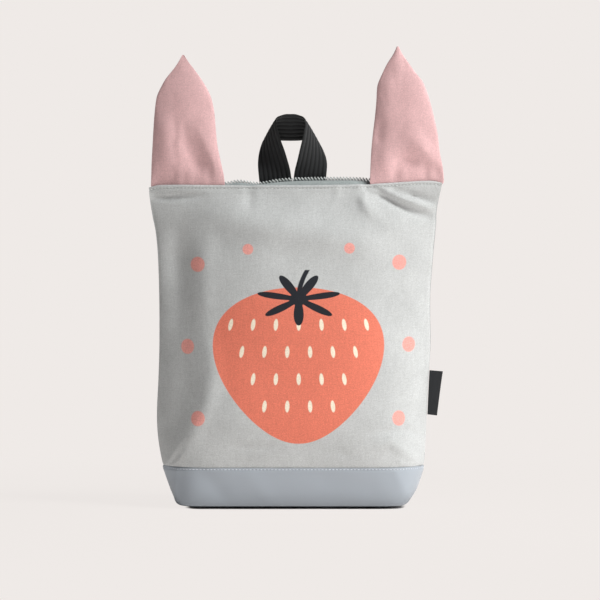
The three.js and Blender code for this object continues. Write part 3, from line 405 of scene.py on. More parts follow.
@dataclass(frozen=True)
class FruitPrint:
    """Soft print on the front: one strawberry with cream seeds in rows, a dark leaf crown and small dots round it."""

    middle: float = 3.0
    centre: float = 133.0
    half_height: float = 72.0
    half_width: float = 77.0
    shoulder: float = 0.3
    edge: float = 0.5
    seed_across: float = 21.0
    seed_up: float = 25.0
    seed_width: float = 2.0
    seed_length: float = 5.4
    seed_margin: float = 11.0
    seed_lean: float = 0.26
    crown_height: float = 194.0
    crown_reach: float = 30.0
    crown_core: float = 9.0
    crown_squash: float = 0.62
    crown_leaves: int = 7
    stem_length: float = 27.0
    stem_width: float = 4.6
    stem_bend: float = 0.011
    dots: tuple[tuple[float, float, float], ...] = (
        (-92, 226, 7),
        (-103, 150, 7),
        (-91, 84, 7),
        (98, 228, 7),
        (109, 152, 7),
        (98, 84, 7),
        (-44, 240, 5),
        (50, 241, 5),
    )
    fruit: tuple = shade(229, 127, 104)
    seeds: tuple = shade(247, 236, 214)
    leaves: tuple = shade(34, 37, 44)
    dot: tuple = shade(236, 165, 156)

    def inside(self, over: Field) -> Field:
        """1 where a distance is above 0, with a soft edge."""
        return over.ramp(-self.edge * MM, self.edge * MM)

    def depth(self, x: Field, z: Field) -> Field:
        """How far a place lies inside the fruit, below 0 outside.

        Args:
            x: Place across from the fruit's middle, in metres.
            z: Place upwards from the fruit's middle, in metres.

        Returns:
            The distance across, or upwards near the top and the bottom.
        """
        t = z / (self.half_height * MM)
        width = (1 - t * t).root() * (1 + t * self.shoulder) * (self.half_width * MM)
        return (width - abs(x)).math("MINIMUM", (1 - abs(t)) * (self.half_height * MM))

    def ink(self, graph: Graph, u: Field, v: Field, ground: Field) -> Field:
        """The print on the cloth.

        Args:
            graph: The material's tree.
            u: Place across, in metres.
            v: Place upwards, in metres.
            ground: The cloth's own colour.

        Returns:
            The colour with the print on it.
        """
        x = u - self.middle * MM
        z = v - self.centre * MM
        fruit = self.inside(self.depth(x, z))
        row = (z / (self.seed_up * MM)).math("FLOOR")
        shift = row.math("PINGPONG", 1.0) * (self.seed_across / 2 * MM)
        cell_x = (x + shift).math("FLOORED_MODULO", self.seed_across * MM) - self.seed_across / 2 * MM
        cell_z = z.math("FLOORED_MODULO", self.seed_up * MM) - self.seed_up / 2 * MM
        lean = cell_x + cell_z * x * (self.seed_lean / (self.half_width * MM))
        far = ((lean / (self.seed_width * MM)) ** 2.0 + (cell_z / (self.seed_length * MM)) ** 2.0).root()
        sown = self.depth(x - cell_x, z - cell_z)
        seed = far.ramp(1.15, 0.85) * sown.ramp(self.seed_margin * MM, (self.seed_margin + 0.1) * MM)
        down = (v - self.crown_height * MM) / self.crown_squash
        angle = x.math("ARCTAN2", down * -1.0)
        reach = ((angle * self.crown_leaves).cosine() * 0.5 + 0.5) ** 1.4 * (self.crown_reach * MM)
        leaf = self.inside(reach + self.crown_core * MM - (x * x + down * down).root())
        above = v - self.crown_height * MM
        aside = abs(x - above * above * (self.stem_bend / MM))
        tip = (self.stem_length * MM - above).math("MINIMUM", above)
        stem = self.inside((self.stem_width / 2 * MM - aside).math("MINIMUM", tip))
        colour = graph.mix(fruit, ground, self.fruit)
        colour = graph.mix(seed, colour, self.seeds)
        colour = graph.mix(leaf.math("MAXIMUM", stem), colour, self.leaves)
        for dot_x, dot_z, radius in self.dots:
            away = ((u - dot_x * MM) ** 2.0 + (v - dot_z * MM) ** 2.0).root()
            colour = graph.mix(self.inside(radius * MM - away), colour, self.dot)
        return colour


@dataclass(frozen=True)
class Finish:
    """What all finishes share."""

    name: str
    slot: Slot
    colour: tuple
    roughness: float

    def surface(self, graph: Graph) -> Sockets:
        """The sockets of the shader that this finish sets."""
        return {"Base Color": self.colour}

    def material(self) -> bpy.types.Material:
        """The finish as a material, made once."""
        made = bpy.data.materials.get(self.name)
        if made:
            return made
        made = bpy.data.materials.new(self.name)
        made.use_nodes = True
        made.node_tree.nodes.clear()
        graph = Graph(made.node_tree)
        inputs = {"Roughness": self.roughness, **self.surface(graph)}
        shader = graph.node("ShaderNodeBsdfPrincipled", inputs=inputs)
        graph.node("ShaderNodeOutputMaterial", inputs={"Surface": shader.outputs[0]})
        return made

    def bump(self, graph: Graph, height: Field, depth: float) -> Field:
        """A normal from a height.

        Args:
            graph: The material's tree.
            height: 0 in the hollows and 1 on the crests.
            depth: Hollow to crest, in millimetres.

        Returns:
            The normal.
        """
        return graph.field("ShaderNodeBump", inputs={"Strength": 1.0, "Distance": depth * MM, "Height": height})


@dataclass(frozen=True)
class Cloth(Finish):
    """Woven cloth on its own pattern coordinates: across in u and along in v, with painted shade in the hollows between
    threads and ribs.
    """

    weave: Weave = Weave.PLAIN
    thread: float = 0.7
    rib: float = 30 / 7
    depth: float = 0.1
    # Share of the colour left in the weave's hollows: painted shade.
    hollow: float = 0.86
    mottle: float = 0.06
    slub: float = 0.85
    slub_size: float = 1.9
    nub_size: float = 1.15
    sheen: float = 0.15
    picture: FruitPrint | None = None

    def surface(self, graph: Graph) -> Sockets:
        """Weave with painted shade in its hollows, slubs, soft mottling and the print.

        Args:
            graph: The material's tree.

        Returns:
            The shader's sockets.
        """
        u, v, _ = graph.parts(graph.field("ShaderNodeUVMap", {"uv_map": CLOTH_UV}))
        turn = 2 * math.pi / (self.thread * MM)
        if self.weave is Weave.PLAIN:
            threads = (u * turn).sine() * (v * turn).sine() * 0.5 + 0.5
        elif self.weave is Weave.RIBBED:
            threads = (v * turn).sine() * 0.35 + (u * turn * 0.5).sine() * 0.15 + 0.5
        else:
            slant = u.math("PINGPONG", self.rib / 2 * MM)
            # The ribs' crests; through the colour below, the grooves between them get painted shade.
            crest = abs((u * (math.pi / (self.rib * MM))).sine()) ** 0.7
            threads = (((v + slant) * turn).sine() * 0.25 + 0.75) * crest
        across = graph.noise(graph.vector(u * 0.25, v, 0.0), self.slub_size)
        upright = graph.noise(graph.vector(u, v * 0.25, 4.0), self.slub_size)
        nubs = graph.noise(graph.vector(u, v, 9.0), self.nub_size)
        slubs = across * 0.18 + upright * 0.22 + nubs * 0.6
        place = graph.vector(u, v, 0.0)
        clouds = graph.noise(place, 34.0, 3.0)
        colour = self.colour
        ground = graph.mix(clouds.ramp(0.3, 0.7), times(colour, 1 - self.mottle), times(colour, 1 + self.mottle / 2))
        if self.picture:
            ground = self.picture.ink(graph, u, v, ground)
        # Painted shade in the weave's hollows, plus the slubs' own uneven tone.
        relief_light_and_tone = threads * (1 - self.hollow) + self.hollow + (slubs - 0.5) * self.slub
        tint = graph.field("ShaderNodeCombineColor", inputs={0: relief_light_and_tone, 1: relief_light_and_tone, 2: relief_light_and_tone})
        shown = graph.field("ShaderNodeMix", {"data_type": "RGBA", "blend_type": "MULTIPLY"}, {0: 1.0, 6: ground, 7: tint}, 2)
        return {
            "Base Color": shown,
            "Roughness": clouds * 0.08 + (self.roughness - 0.04),
            "Sheen Weight": self.sheen,
            "Sheen Roughness": 0.5,
            "Specular IOR Level": 0.25,
            "Normal": self.bump(graph, threads * 0.6 + slubs * 0.7, self.depth),
        }


@dataclass(frozen=True)
class Leatherette(Finish):
    """Coated cloth with a fine pebbled grain and a satin shine."""

    grain: float = 1.3
    depth: float = 0.08
    mottle: float = 0.11

    def surface(self, graph: Graph) -> Sockets:
        """Pebbles with painted shade in their hollows, faint creases and a mottled shine."""
        place = graph.field("ShaderNodeTexCoord", out="Object")
        inputs = {"Vector": place, "Scale": 1 / (self.grain * MM)}
        pebbles = graph.field("ShaderNodeTexVoronoi", {"feature": "SMOOTH_F1"}, inputs)
        clouds = graph.noise(place, 30.0, 4.0)
        creases = graph.noise(place, 3.0, 2.0)
        specks = graph.noise(place, 1.4, 1.0)
        colour = graph.mix(clouds.ramp(0.3, 0.7), times(self.colour, 1 - self.mottle), times(self.colour, 1 + self.mottle))
        # Darker between the pebbles (painted shade) and at random specks (the coating's own tone).
        colour = graph.mix(pebbles.ramp(0.2, 0.9) * 0.12 + specks.ramp(0.3, 0.7) * 0.26, colour, times(self.colour, 0.55))
        height = pebbles * -0.8 + creases * 0.5
        return {
            "Base Color": colour,
            "Roughness": pebbles * 0.12 + clouds * 0.1 + (self.roughness - 0.1),
            "Specular IOR Level": 0.4,
            "Normal": self.bump(graph, height, self.depth),
        }


@dataclass(frozen=True)
class Moulded(Finish):
    """Moulded plastic or cast metal with a fine skin and a painted highlight on its raised edges."""

    metallic: float = 0.0
    skin: float = 0.5
    depth: float = 0.02
    # Share of the painted highlight on raised edges.
    relief_light_and_tone: float = 0.3

    def surface(self, graph: Graph) -> Sockets:
        """Fine skin, handling marks and painted highlights on raised edges."""
        place = graph.field("ShaderNodeTexCoord", out="Object")
        skin = graph.noise(place, self.skin, 2.0)
        marks = graph.noise(place, 5.0, 4.0)
        edge = graph.field("ShaderNodeNewGeometry", out="Pointiness").ramp(0.5, 0.56)
        # Lighter on raised edges: painted highlight.
        colour = graph.mix(edge * self.relief_light_and_tone, self.colour, times(self.colour, 1.5))
        colour = graph.mix(marks.ramp(0.45, 0.75) * 0.25, colour, times(self.colour, 0.75))
        return {
            "Base Color": colour,
            "Metallic": self.metallic,
            "Roughness": marks * 0.2 + (self.roughness - 0.1),
            "Normal": self.bump(graph, skin, self.depth),
        }


@dataclass(frozen=True)
class Thread(Finish):
    """Twisted sewing thread."""

    twist: float = 0.5
    depth: float = 0.06

    def surface(self, graph: Graph) -> Sockets:
        """Slanted strands and uneven colour."""
        place = graph.field("ShaderNodeTexCoord", out="Object")
        x, y, z = graph.parts(place)
        strands = ((x + y + z) * (2 * math.pi / (self.twist * MM))).sine() * 0.5 + 0.5
        colour = graph.mix(strands * 0.4, self.colour, times(self.colour, 0.7))
        colour = graph.mix(graph.noise(place, 8.0) * 0.3, colour, times(self.colour, 1.15))
        return {"Base Color": colour, "Normal": self.bump(graph, strands, self.depth)}


CANVAS_GREY = shade(194, 197, 197)
CANVAS_FRONT = Cloth("printed canvas", Slot.CANVAS, CANVAS_GREY, 0.9, picture=FruitPrint())
CANVAS_BACK = Cloth("plain canvas", Slot.CANVAS, CANVAS_GREY, 0.9)
LEATHERETTE = Leatherette("leatherette", Slot.LEATHERETTE, shade(203, 215, 231), 0.5)
COTTON = Cloth("pink cotton", Slot.COTTON, shade(218, 179, 180), 0.88, thread=0.5, depth=0.06, mottle=0.05)
WEBBING = Cloth(
    "black webbing",
    Slot.WEBBING,
    shade(38, 40, 42),
    0.75,
    weave=Weave.HERRINGBONE,
    thread=1.7,
    depth=0.2,
    hollow=0.12,
)
TAPE = Cloth("zip tape", Slot.TAPE, shade(158, 166, 166), 0.82, weave=Weave.RIBBED, thread=0.9, depth=0.12)
TEETH = Moulded("zip teeth", Slot.TEETH, shade(184, 189, 188), 0.42)
NICKEL = Moulded("dull nickel", Slot.METAL, shade(176, 179, 181), 0.36, metallic=1.0)
LOCK_PLASTIC = Moulded("black moulded plastic", Slot.LOCK, shade(27, 29, 31), 0.45, depth=0.03)
RIBBON = Cloth(
    "black woven ribbon",
    Slot.LABEL,
    shade(29, 32, 36),
    0.6,
    weave=Weave.RIBBED,
    thread=0.45,
    depth=0.06,
    hollow=0.7,
    sheen=0.3,
)
PALE_THREAD = Thread("pale thread", Slot.CANVAS, shade(222, 226, 224), 0.7)
BLUISH_THREAD = Thread("bluish thread", Slot.LEATHERETTE, shade(226, 232, 240), 0.7)
BLACK_THREAD = Thread("black thread", Slot.WEBBING, shade(46, 49, 52), 0.7)


# Meshes


@dataclass
class Skin:
    """Points, faces and pattern coordinates of a piece in the making, in millimetres."""

    points: np.ndarray
    faces: list[tuple[int, ...]]
    cloth: np.ndarray

    def joined(self, other: "Skin") -> "Skin":
        """This and another as one."""
        start = len(self.points)
        faces = [*self.faces, *(tuple(i + start for i in f) for f in other.faces)]
        return Skin(np.vstack([self.points, other.points]), faces, np.vstack([self.cloth, other.cloth]))

    def piece(self, name: str, finish: Finish, crease: float = 40.0) -> bpy.types.Object:
        """Makes the object.

        Args:
            name: The piece's name.
            finish: Its finish.
            crease: Angle in degrees above which an edge stays sharp.

        Returns:
            The object, linked to the scene.
        """
        mesh = bpy.data.meshes.new(name)
        mesh.from_pydata((self.points * MM).tolist(), [], self.faces)
        layer = mesh.uv_layers.new(name=CLOTH_UV)
        corners = np.zeros(len(mesh.loops), np.int32)
        mesh.loops.foreach_get("vertex_index", corners)
        layer.data.foreach_set("uv", (self.cloth[corners] * MM).ravel())
        mesh.shade_smooth()
        mesh.set_sharp_from_angle(angle=math.radians(crease))
        mesh.materials.append(finish.material())
        made = bpy.data.objects.new(name, mesh)
        bpy.context.scene.collection.objects.link(made)
        return made


def walled(outer: np.ndarray, inner: np.ndarray, cloth: np.ndarray, side: float = 1.0, end: float = 1.0) -> Skin:
    """Closed wall between two grids of points, with rolled edges.

    Args:
        outer: Grid [row, column, xyz] with rows upwards and columns to the right seen from outside.
        inner: The same for the inside.
        cloth: Grid [row, column, uv] of pattern coordinates.
        side: How round the left and right edges are, 0 for square.
        end: The same for the first and last rows.

    Returns:
        The closed skin.
    """
    mid, half = (outer + inner) / 2, (outer - inner) / 2
    bends = np.radians([25.0, 50.0, 75.0]) if end else []
    rows = [(mid[i], half[i], cloth[i]) for i in range(len(mid))]
    for row, beside, front in ((0, 1, True), (-1, -2, False)):
        out = unit(mid[row] - mid[beside]) * np.linalg.norm(half[row], axis=-1, keepdims=True) * end
        extra = [(mid[row] + out * math.sin(b), half[row] * math.cos(b), cloth[row]) for b in bends]
        rows = [*reversed(extra), *rows] if front else [*rows, *extra]
    turns = np.radians([45.0, 90.0, 135.0])
    points, uvs = [], []
    for middle, thick, uv in rows:
        rims = []
        for column, beside, angles in ((-1, -2, turns), (0, 1, turns[::-1])):
            out = unit(middle[column] - middle[beside]) * np.linalg.norm(thick[column]) * side
            rims.append([middle[column] + out * math.sin(a) + thick[column] * math.cos(a) for a in angles])
        points.append(np.vstack([middle + thick, rims[0], (middle - thick)[::-1], rims[1]]))
        uvs.append(np.vstack([uv, [uv[-1]] * 3, uv[::-1], [uv[0]] * 3]))
    size, count, columns = len(points[0]), len(points), mid.shape[1]
    faces = []
    for i in range(count - 1):
        for k in range(size):
            n = (k + 1) % size
            faces.append((i * size + k, i * size + n, (i + 1) * size + n, (i + 1) * size + k))
    back = 2 * columns + 2
    for start, upper in ((0, False), ((count - 1) * size, True)):
        caps = [(j, back - j, back - j - 1, j + 1) for j in range(columns - 1)]
        caps.append((columns - 1, *range(columns + 3, columns - 1, -1)))
        caps.append((0, *range(size - 1, back - 1, -1)))
        for cap in caps:
            ring = tuple(start + i for i in cap)
            faces.append(ring[::-1] if upper else ring)
    return Skin(np.vstack(points), faces, np.vstack(uvs))


def about(mid: np.ndarray, thickness: float, cloth: np.ndarray, side: float = 1.0, end: float = 1.0) -> Skin:
    """Closed sheet of a thickness about a grid of points, as walled() makes it."""
    right = np.gradient(mid, axis=1)
    up = np.gradient(mid, axis=0)
    offset = unit(np.cross(right, up)) * thickness / 2
    return walled(mid + offset, mid - offset, cloth, side, end)


def moulded(
    name: str,
    outline: Sequence[tuple[float, float]],
    holes: Sequence[Sequence[tuple[float, float]]],
    thickness: float,
    bevel: float,
    finish: Finish,
    place: Matrix,
) -> bpy.types.Object:
    """A plate with rounded edges from its outline.

    Args:
        name: The piece's name.
        outline: Corners in millimetres.
        holes: Corners of each hole.
        thickness: Of the plate.
        bevel: Radius of its edges.
        finish: Its finish.
        place: From the plate's own x, y and thickness to the row's frame, in millimetres.

    Returns:
        The object.
    """
    curve = bpy.data.curves.new(name, "CURVE")
    curve.dimensions = "2D"
    curve.fill_mode = "BOTH"
    curve.extrude = thickness / 2 - bevel
    curve.bevel_depth = bevel
    curve.offset = -bevel
    curve.bevel_resolution = 2
    for corners in (outline, *holes):
        spline = curve.splines.new("POLY")
        spline.points.add(len(corners) - 1)
        spline.use_cyclic_u = True
        for point, (x, y) in zip(spline.points, corners):
            point.co = (x, y, 0, 1)
    holder = bpy.data.objects.new(name + "_outline", curve)
    bpy.context.scene.collection.objects.link(holder)
    mesh = plain_mesh(holder, name)
    mesh.transform(Matrix.Scale(MM, 4) @ place)
    work = bmesh.new()
    work.from_mesh(mesh)
    bmesh.ops.remove_doubles(work, verts=work.verts, dist=1e-6)
    bmesh.ops.dissolve_degenerate(work, dist=1e-6, edges=work.edges)
    bmesh.ops.recalc_face_normals(work, faces=work.faces)
    work.to_mesh(mesh)
    work.free()
    mesh.materials.clear()
    mesh.materials.append(finish.material())
    mesh.shade_smooth()
    mesh.set_sharp_from_angle(angle=math.radians(50))
    made = bpy.data.objects.new(name, mesh)
    bpy.context.scene.collection.objects.link(made)
    return made


def plain_mesh(holder: bpy.types.Object, name: str) -> bpy.types.Mesh:
    """The shown mesh of an object, which is then removed.

    Args:
        holder: An object with modifiers, or a curve.
        name: Name of the mesh.

    Returns:
        The mesh, with nothing live on it.
    """
    graph = bpy.context.evaluated_depsgraph_get()
    mesh = bpy.data.meshes.new_from_object(holder.evaluated_get(graph), depsgraph=graph)
    mesh.name = name
    bpy.data.objects.remove(holder)
    return mesh


def settle(piece: bpy.types.Object, finish: Finish, *nodes: str, body: Body = Body.BAG) -> bpy.types.Object:
    """Lets a piece ride on its body and for its nodes.

    Args:
        piece: The finished piece.
        finish: Not used.
        nodes: The nodes that it stands for.
        body: The body that it rides on.

    Returns:
        The piece.
    """
    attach(piece, body.value)
    if nodes:
        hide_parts(*nodes)
    return piece


def rounded(corners: Sequence[tuple[float, float]], radius: float, steps: int = 4) -> list[tuple[float, float]]:
    """An outline with its corners rounded.

    Args:
        corners: The outline's corners.
        radius: How far the rounding reaches from each corner.
        steps: Facets of each corner.

    Returns:
        The rounded outline.
    """
    line = []
    for i, corner in enumerate(corners):
        here = np.array(corner, float)
        a, b = (np.array(corners[(i + k) % len(corners)], float) - here for k in (-1, 1))
        start, stop = (here + v / np.linalg.norm(v) * min(radius, np.linalg.norm(v) / 2) for v in (a, b))
        for t in np.linspace(0, 1, steps + 1):
            line.append(tuple((1 - t) ** 2 * start + 2 * t * (1 - t) * here + t**2 * stop))
    return line


# Geometry Nodes


class NodeRecipe:
    """A Geometry Nodes tree with named inputs, and the modifier that uses it."""

    def __init__(self, name: str, sizes: Sequence[str]) -> None:
        """Starts the tree.

        Args:
            name: The tree's name.
            sizes: Names of its number inputs.
        """
        tree = bpy.data.node_groups.new(name, "GeometryNodeTree")
        self.graph = Graph(tree)
        face = tree.interface
        self.keys = {"Geometry": face.new_socket("Geometry", in_out="INPUT", socket_type="NodeSocketGeometry").identifier}
        for size in sizes:
            self.keys[size] = face.new_socket(size, in_out="INPUT", socket_type="NodeSocketFloat").identifier
        self.keys["Material"] = face.new_socket("Material", in_out="INPUT", socket_type="NodeSocketMaterial").identifier
        face.new_socket("Geometry", in_out="OUTPUT", socket_type="NodeSocketGeometry")
        self.start = self.graph.node("NodeGroupInput")

    def given(self, name: str) -> Field:
        """One of the tree's inputs."""
        return Field(self.graph, self.start.outputs[name])

    def end(self, geometry: Field) -> None:
        """Realizes the instances, sets the material and closes the tree."""
        real = self.graph.field("GeometryNodeRealizeInstances", inputs={0: geometry})
        smooth = self.graph.field("GeometryNodeSetShadeSmooth", inputs={"Geometry": real})
        dressed = self.graph.field("GeometryNodeSetMaterial", inputs={"Geometry": smooth, "Material": self.given("Material")})
        self.graph.node("NodeGroupOutput", inputs={0: dressed})

    def apply(self, base: bpy.types.Object, name: str, finish: Finish, sizes: dict[str, float]) -> bpy.types.Object:
        """Runs the tree on an object and keeps the plain result.

        Args:
            base: The object that carries the path or surface, which is removed.
            name: Name of the result.
            finish: Its finish.
            sizes: A number for each of the tree's sizes.

        Returns:
            The finished object.
        """
        modifier = base.modifiers.new("recipe", "NODES")
        modifier.node_group = self.graph.tree
        for size, value in sizes.items():
            modifier[self.keys[size]] = value
        modifier[self.keys["Material"]] = finish.material()
        mesh = plain_mesh(base, name)
        made = bpy.data.objects.new(name, mesh)
        bpy.context.scene.collection.objects.link(made)
        return made


def path_object(lines: Sequence[np.ndarray]) -> bpy.types.Object:
    """Lines of points in millimetres as one object of edges."""
    points = np.vstack(lines)
    edges, start = [], 0
    for line in lines:
        edges += [(start + i, start + i + 1) for i in range(len(line) - 1)]
        start += len(line)
    mesh = bpy.data.meshes.new("path")
    mesh.from_pydata((points * MM).tolist(), edges, [])
    made = bpy.data.objects.new("path", mesh)
    bpy.context.scene.collection.objects.link(made)
    return made


class StitchRecipe(NodeRecipe):
    """One stitch in each pitch of a path."""

    def __init__(self) -> None:
        """Builds the tree."""
        super().__init__("Row of stitches", ["Pitch", "Stitch Length", "Thread Radius"])
        graph = self.graph
        curve = graph.field("GeometryNodeMeshToCurve", inputs={0: self.given("Geometry")})
        spaced = graph.field("GeometryNodeResampleCurve", {"mode": "LENGTH"}, {"Curve": curve, "Length": self.given("Pitch")})
        ball = graph.field("GeometryNodeMeshUVSphere", inputs={"Segments": 6, "Rings": 4, "Radius": 1.0})
        half = self.given("Stitch Length") * 0.5
        radius = self.given("Thread Radius")
        stitch = graph.field("GeometryNodeTransform", inputs={"Geometry": ball, "Scale": graph.vector(half, radius, radius)})
        along = graph.field("GeometryNodeInputTangent")
        turned = graph.field("FunctionNodeAlignRotationToVector", {"axis": "X"}, {"Vector": along})
        uneven = graph.field(
            "FunctionNodeRandomValue",
            {"data_type": "FLOAT_VECTOR"},
            {0: (0.85, 0.9, 0.9), 1: (1.05, 1.1, 1.1), "Seed": 7},
        )
        inputs = {"Points": spaced, "Instance": stitch, "Rotation": turned, "Scale": uneven}
        self.end(graph.field("GeometryNodeInstanceOnPoints", inputs=inputs))


class ToothRecipe(NodeRecipe):
    """Zip teeth along a path, one from each tape in turn."""

    def __init__(self) -> None:
        """Builds the tree."""
        super().__init__("Zip teeth", ["Pitch", "Tooth Length", "Tooth Reach", "Tooth Height", "Lean", "Shift", "Drop"])
        graph = self.graph
        curve = graph.field("GeometryNodeMeshToCurve", inputs={0: self.given("Geometry")})
        spaced = graph.field("GeometryNodeResampleCurve", {"mode": "LENGTH"}, {"Curve": curve, "Length": self.given("Pitch") * 0.5})
        size = graph.vector(self.given("Tooth Length"), self.given("Tooth Reach"), self.given("Tooth Height"))
        block = graph.field("GeometryNodeMeshCube", inputs={"Size": size})
        soft = graph.field("GeometryNodeSubdivisionSurface", inputs={"Mesh": block, "Level": 2, "Edge Crease": 0.62})
        lean = graph.vector(0.0, self.given("Lean"), 0.0)
        tooth = graph.field("GeometryNodeTransform", inputs={"Geometry": soft, "Rotation": lean})
        along = graph.field("GeometryNodeInputTangent")
        turned = graph.field("FunctionNodeAlignRotationToVector", {"axis": "X"}, {"Vector": along})
        teeth = graph.field("GeometryNodeInstanceOnPoints", inputs={"Points": spaced, "Instance": tooth, "Rotation": turned})
        parity = graph.field("GeometryNodeInputIndex").math("FLOORED_MODULO", 2.0) * 2.0 - 1.0
        rear = parity * 0.5 + 0.5
        shift = graph.vector(0.0, parity * self.given("Shift"), rear * self.given("Drop") * -1.0)
        self.end(graph.field("GeometryNodeTranslateInstances", inputs={"Instances": teeth, "Translation": shift}))


class RibRecipe(NodeRecipe):
    """Lengthwise ribs raised on a band, following its pattern coordinates."""

    def __init__(self) -> None:
        """Builds the tree."""
        super().__init__("Webbing ribs", ["Rib Pitch", "Rib Depth"])
        graph = self.graph
        cloth = graph.field("GeometryNodeInputNamedAttribute", {"data_type": "FLOAT_VECTOR"}, {"Name": CLOTH_UV})
        across = graph.parts(cloth)[0]
        wave = abs((across * math.pi / self.given("Rib Pitch")).sine()) ** 0.6 - 0.5
        lift = wave * self.given("Rib Depth")
        away = graph.field("GeometryNodeInputNormal")
        offset = graph.field("ShaderNodeVectorMath", {"operation": "SCALE"}, {0: away, "Scale": lift})
        self.end(graph.field("GeometryNodeSetPosition", inputs={"Geometry": self.given("Geometry"), "Offset": offset}))


# Pouch


@dataclass(frozen=True)
class Pattern:
    """The sizes and sections that the whole pouch is cut from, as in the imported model's source."""

    height: float = 300.0
    top_width: float = 273.0
    base_depth: float = 68.0
    top_depth: float = 28.0
    corner_depth: float = 6.6
    corner_rise: float = 20.0
    base_height: float = 38.5
    canvas: float = 1.6
    leatherette: float = 1.8
    floor: float = 2.4
    gap: float = 0.3
    fold: float = 3.0
    sewn: float = 6.0
    facets: tuple[int, int] = (34, 24)
    sections: Table = Table(
        "height left right front back full square",
        (
            (0, 0.79, 0.73, 0.72, 0.72, 16, 0.35),
            (0.011, 0.81, 0.76, 0.88, 0.88, 15, 0.4),
            (0.027, 0.828, 0.787, 0.97, 0.97, 14, 0.5),
            (0.053, 0.854, 0.826, 1.04, 1.02, 12, 0.65),
            (0.128, 0.909, 0.88, 1.15, 1.06, 8, 0.9),
            (0.21, 0.942, 0.894, 1.32, 1.08, 5.5, 1),
            (0.287, 0.951, 0.901, 1.4, 1.08, 4.2, 1),
            (0.4, 0.94, 0.912, 1.32, 1, 3.4, 1),
            (0.5, 0.933, 0.926, 1.22, 0.9, 3, 1),
            (0.643, 0.933, 0.923, 1.03, 0.7, 2.7, 1),
            (0.783, 0.942, 0.944, 0.75, 0.47, 2.5, 1),
            (0.86, 0.957, 0.96, 0.53, 0.33, 2.4, 1),
            (0.907, 0.977, 0.965, 0.34, 0.21, 2.3, 1),
            (0.95, 0.99, 0.978, 0.15, 0.1, 2.2, 1),
            (0.973, 0.996, 0.989, 0.06, 0.04, 2.2, 1),
            (1, 1, 1, 0, 0, 2.2, 1),
        ),
    )
    top: Table = Table(
        "across rise",
        (
            (-1, -0.009),
            (-0.93, -0.0035),
            (-0.5, -0.0045),
            (0, -0.0045),
            (0.35, -0.003),
            (0.54, 0),
            (0.76, 0.0065),
            (0.93, 0.0095),
            (1.02, 0.004),
        ),
    )

    @property
    def low(self) -> float:
        """Lower edge of the canvas."""
        return self.base_height + self.gap

    @property
    def rise(self) -> float:
        """Height of the canvas."""
        return self.height - self.low

    def top_edge(self, x: np.ndarray | float) -> np.ndarray:
        """Height of the top edge at x."""
        return self.height * (1 + self.top.at("rise", np.asarray(x) / (self.top_width / 2)))

    def seam_gap(self, share: float) -> float:
        """Half of the distance between front and back at the side seam."""
        opened = ramp(1 - self.corner_rise / self.height, 1, share)
        return float(self.gap / 2 + (self.corner_depth / 2 - self.gap / 2) * opened)

    def depth_at(self, face: Face, x: np.ndarray | float, share: float, seam: float) -> np.ndarray:
        """Depth of the pouch's outside.

        Args:
            face: Front or back.
            x: Places across.
            share: Height as a share of the pouch's.
            seam: Half gap at the side seam.

        Returns:
            The depth from the plane of the side seams, above 0.
        """
        x = np.asarray(x, float)
        half = np.where(x < 0, self.sections.at("left", share), self.sections.at("right", share)) * self.top_width / 2
        swell = self.sections.at(face.name.lower(), share)
        middle = self.top_depth / 2 + (self.base_depth - self.top_depth) / 2 * swell
        u = np.minimum(1, np.abs(x) / half)
        return seam + (middle - seam) * (1 - u ** self.sections.at("full", share)) ** self.sections.at("square", share)

    def cloth_line(self, face: Face, share: float, seam: float, places: np.ndarray) -> tuple[np.ndarray, np.ndarray]:
        """The outside of one face at a height.

        Args:
            face: Front or back.
            share: Height as a share of the pouch's.
            seam: Half gap at the side seam.
            places: Shares along the cloth, 0 at the left seam and 1 at the right.

        Returns:
            The points [x, y] and their distance along the cloth from its middle.
        """
        turn = np.linspace(-1, 1, 241)
        half = np.where(turn < 0, self.sections.at("left", share), self.sections.at("right", share)) * self.top_width / 2
        x = np.sin(turn * math.pi / 2) * half
        y = face.value * self.depth_at(face, x, share, seam)
        length = np.concatenate([[0], np.cumsum(np.hypot(np.diff(x), np.diff(y)))])
        want = places * length[-1]
        line = np.column_stack([np.interp(want, length, x), np.interp(want, length, y)])
        return line, want - np.interp(0, x, length)

    def inwards(self, line: np.ndarray, face: Face) -> np.ndarray:
        """Directions [x, y] from the outside of a face inwards."""
        run = unit(np.gradient(line, axis=0))
        return np.column_stack([face.value * run[:, 1], -face.value * run[:, 0]])

    def inner_line(self, line: np.ndarray, wall: float | np.ndarray, seam: float, face: Face) -> np.ndarray:
        """The line moved inwards by a wall, never past the plane of the side seams."""
        moved = line + self.inwards(line, face) * np.reshape(wall, (-1, 1))
        return np.column_stack([moved[:, 0], face.value * np.maximum(seam, face.value * moved[:, 1])])

    def lining(self, face: Face, x: np.ndarray | float) -> np.ndarray:
        """Least depth of a panel's inside over the height of the sewn layers."""
        columns = self.facets[0 if face is Face.FRONT else 1]
        depths = []
        for v in (1 - (self.sewn + self.gap) / self.rise, 1):
            share = (self.low + v * self.rise) / self.height
            seam = self.seam_gap(share)
            line, _ = self.cloth_line(face, share, seam, np.linspace(0, 1, columns + 1))
            inner = self.inner_line(line, self.canvas, seam, face)
            depths.append(np.abs(np.interp(x, inner[:, 0], inner[:, 1])))
        return np.minimum(*depths)


PATTERN = Pattern()

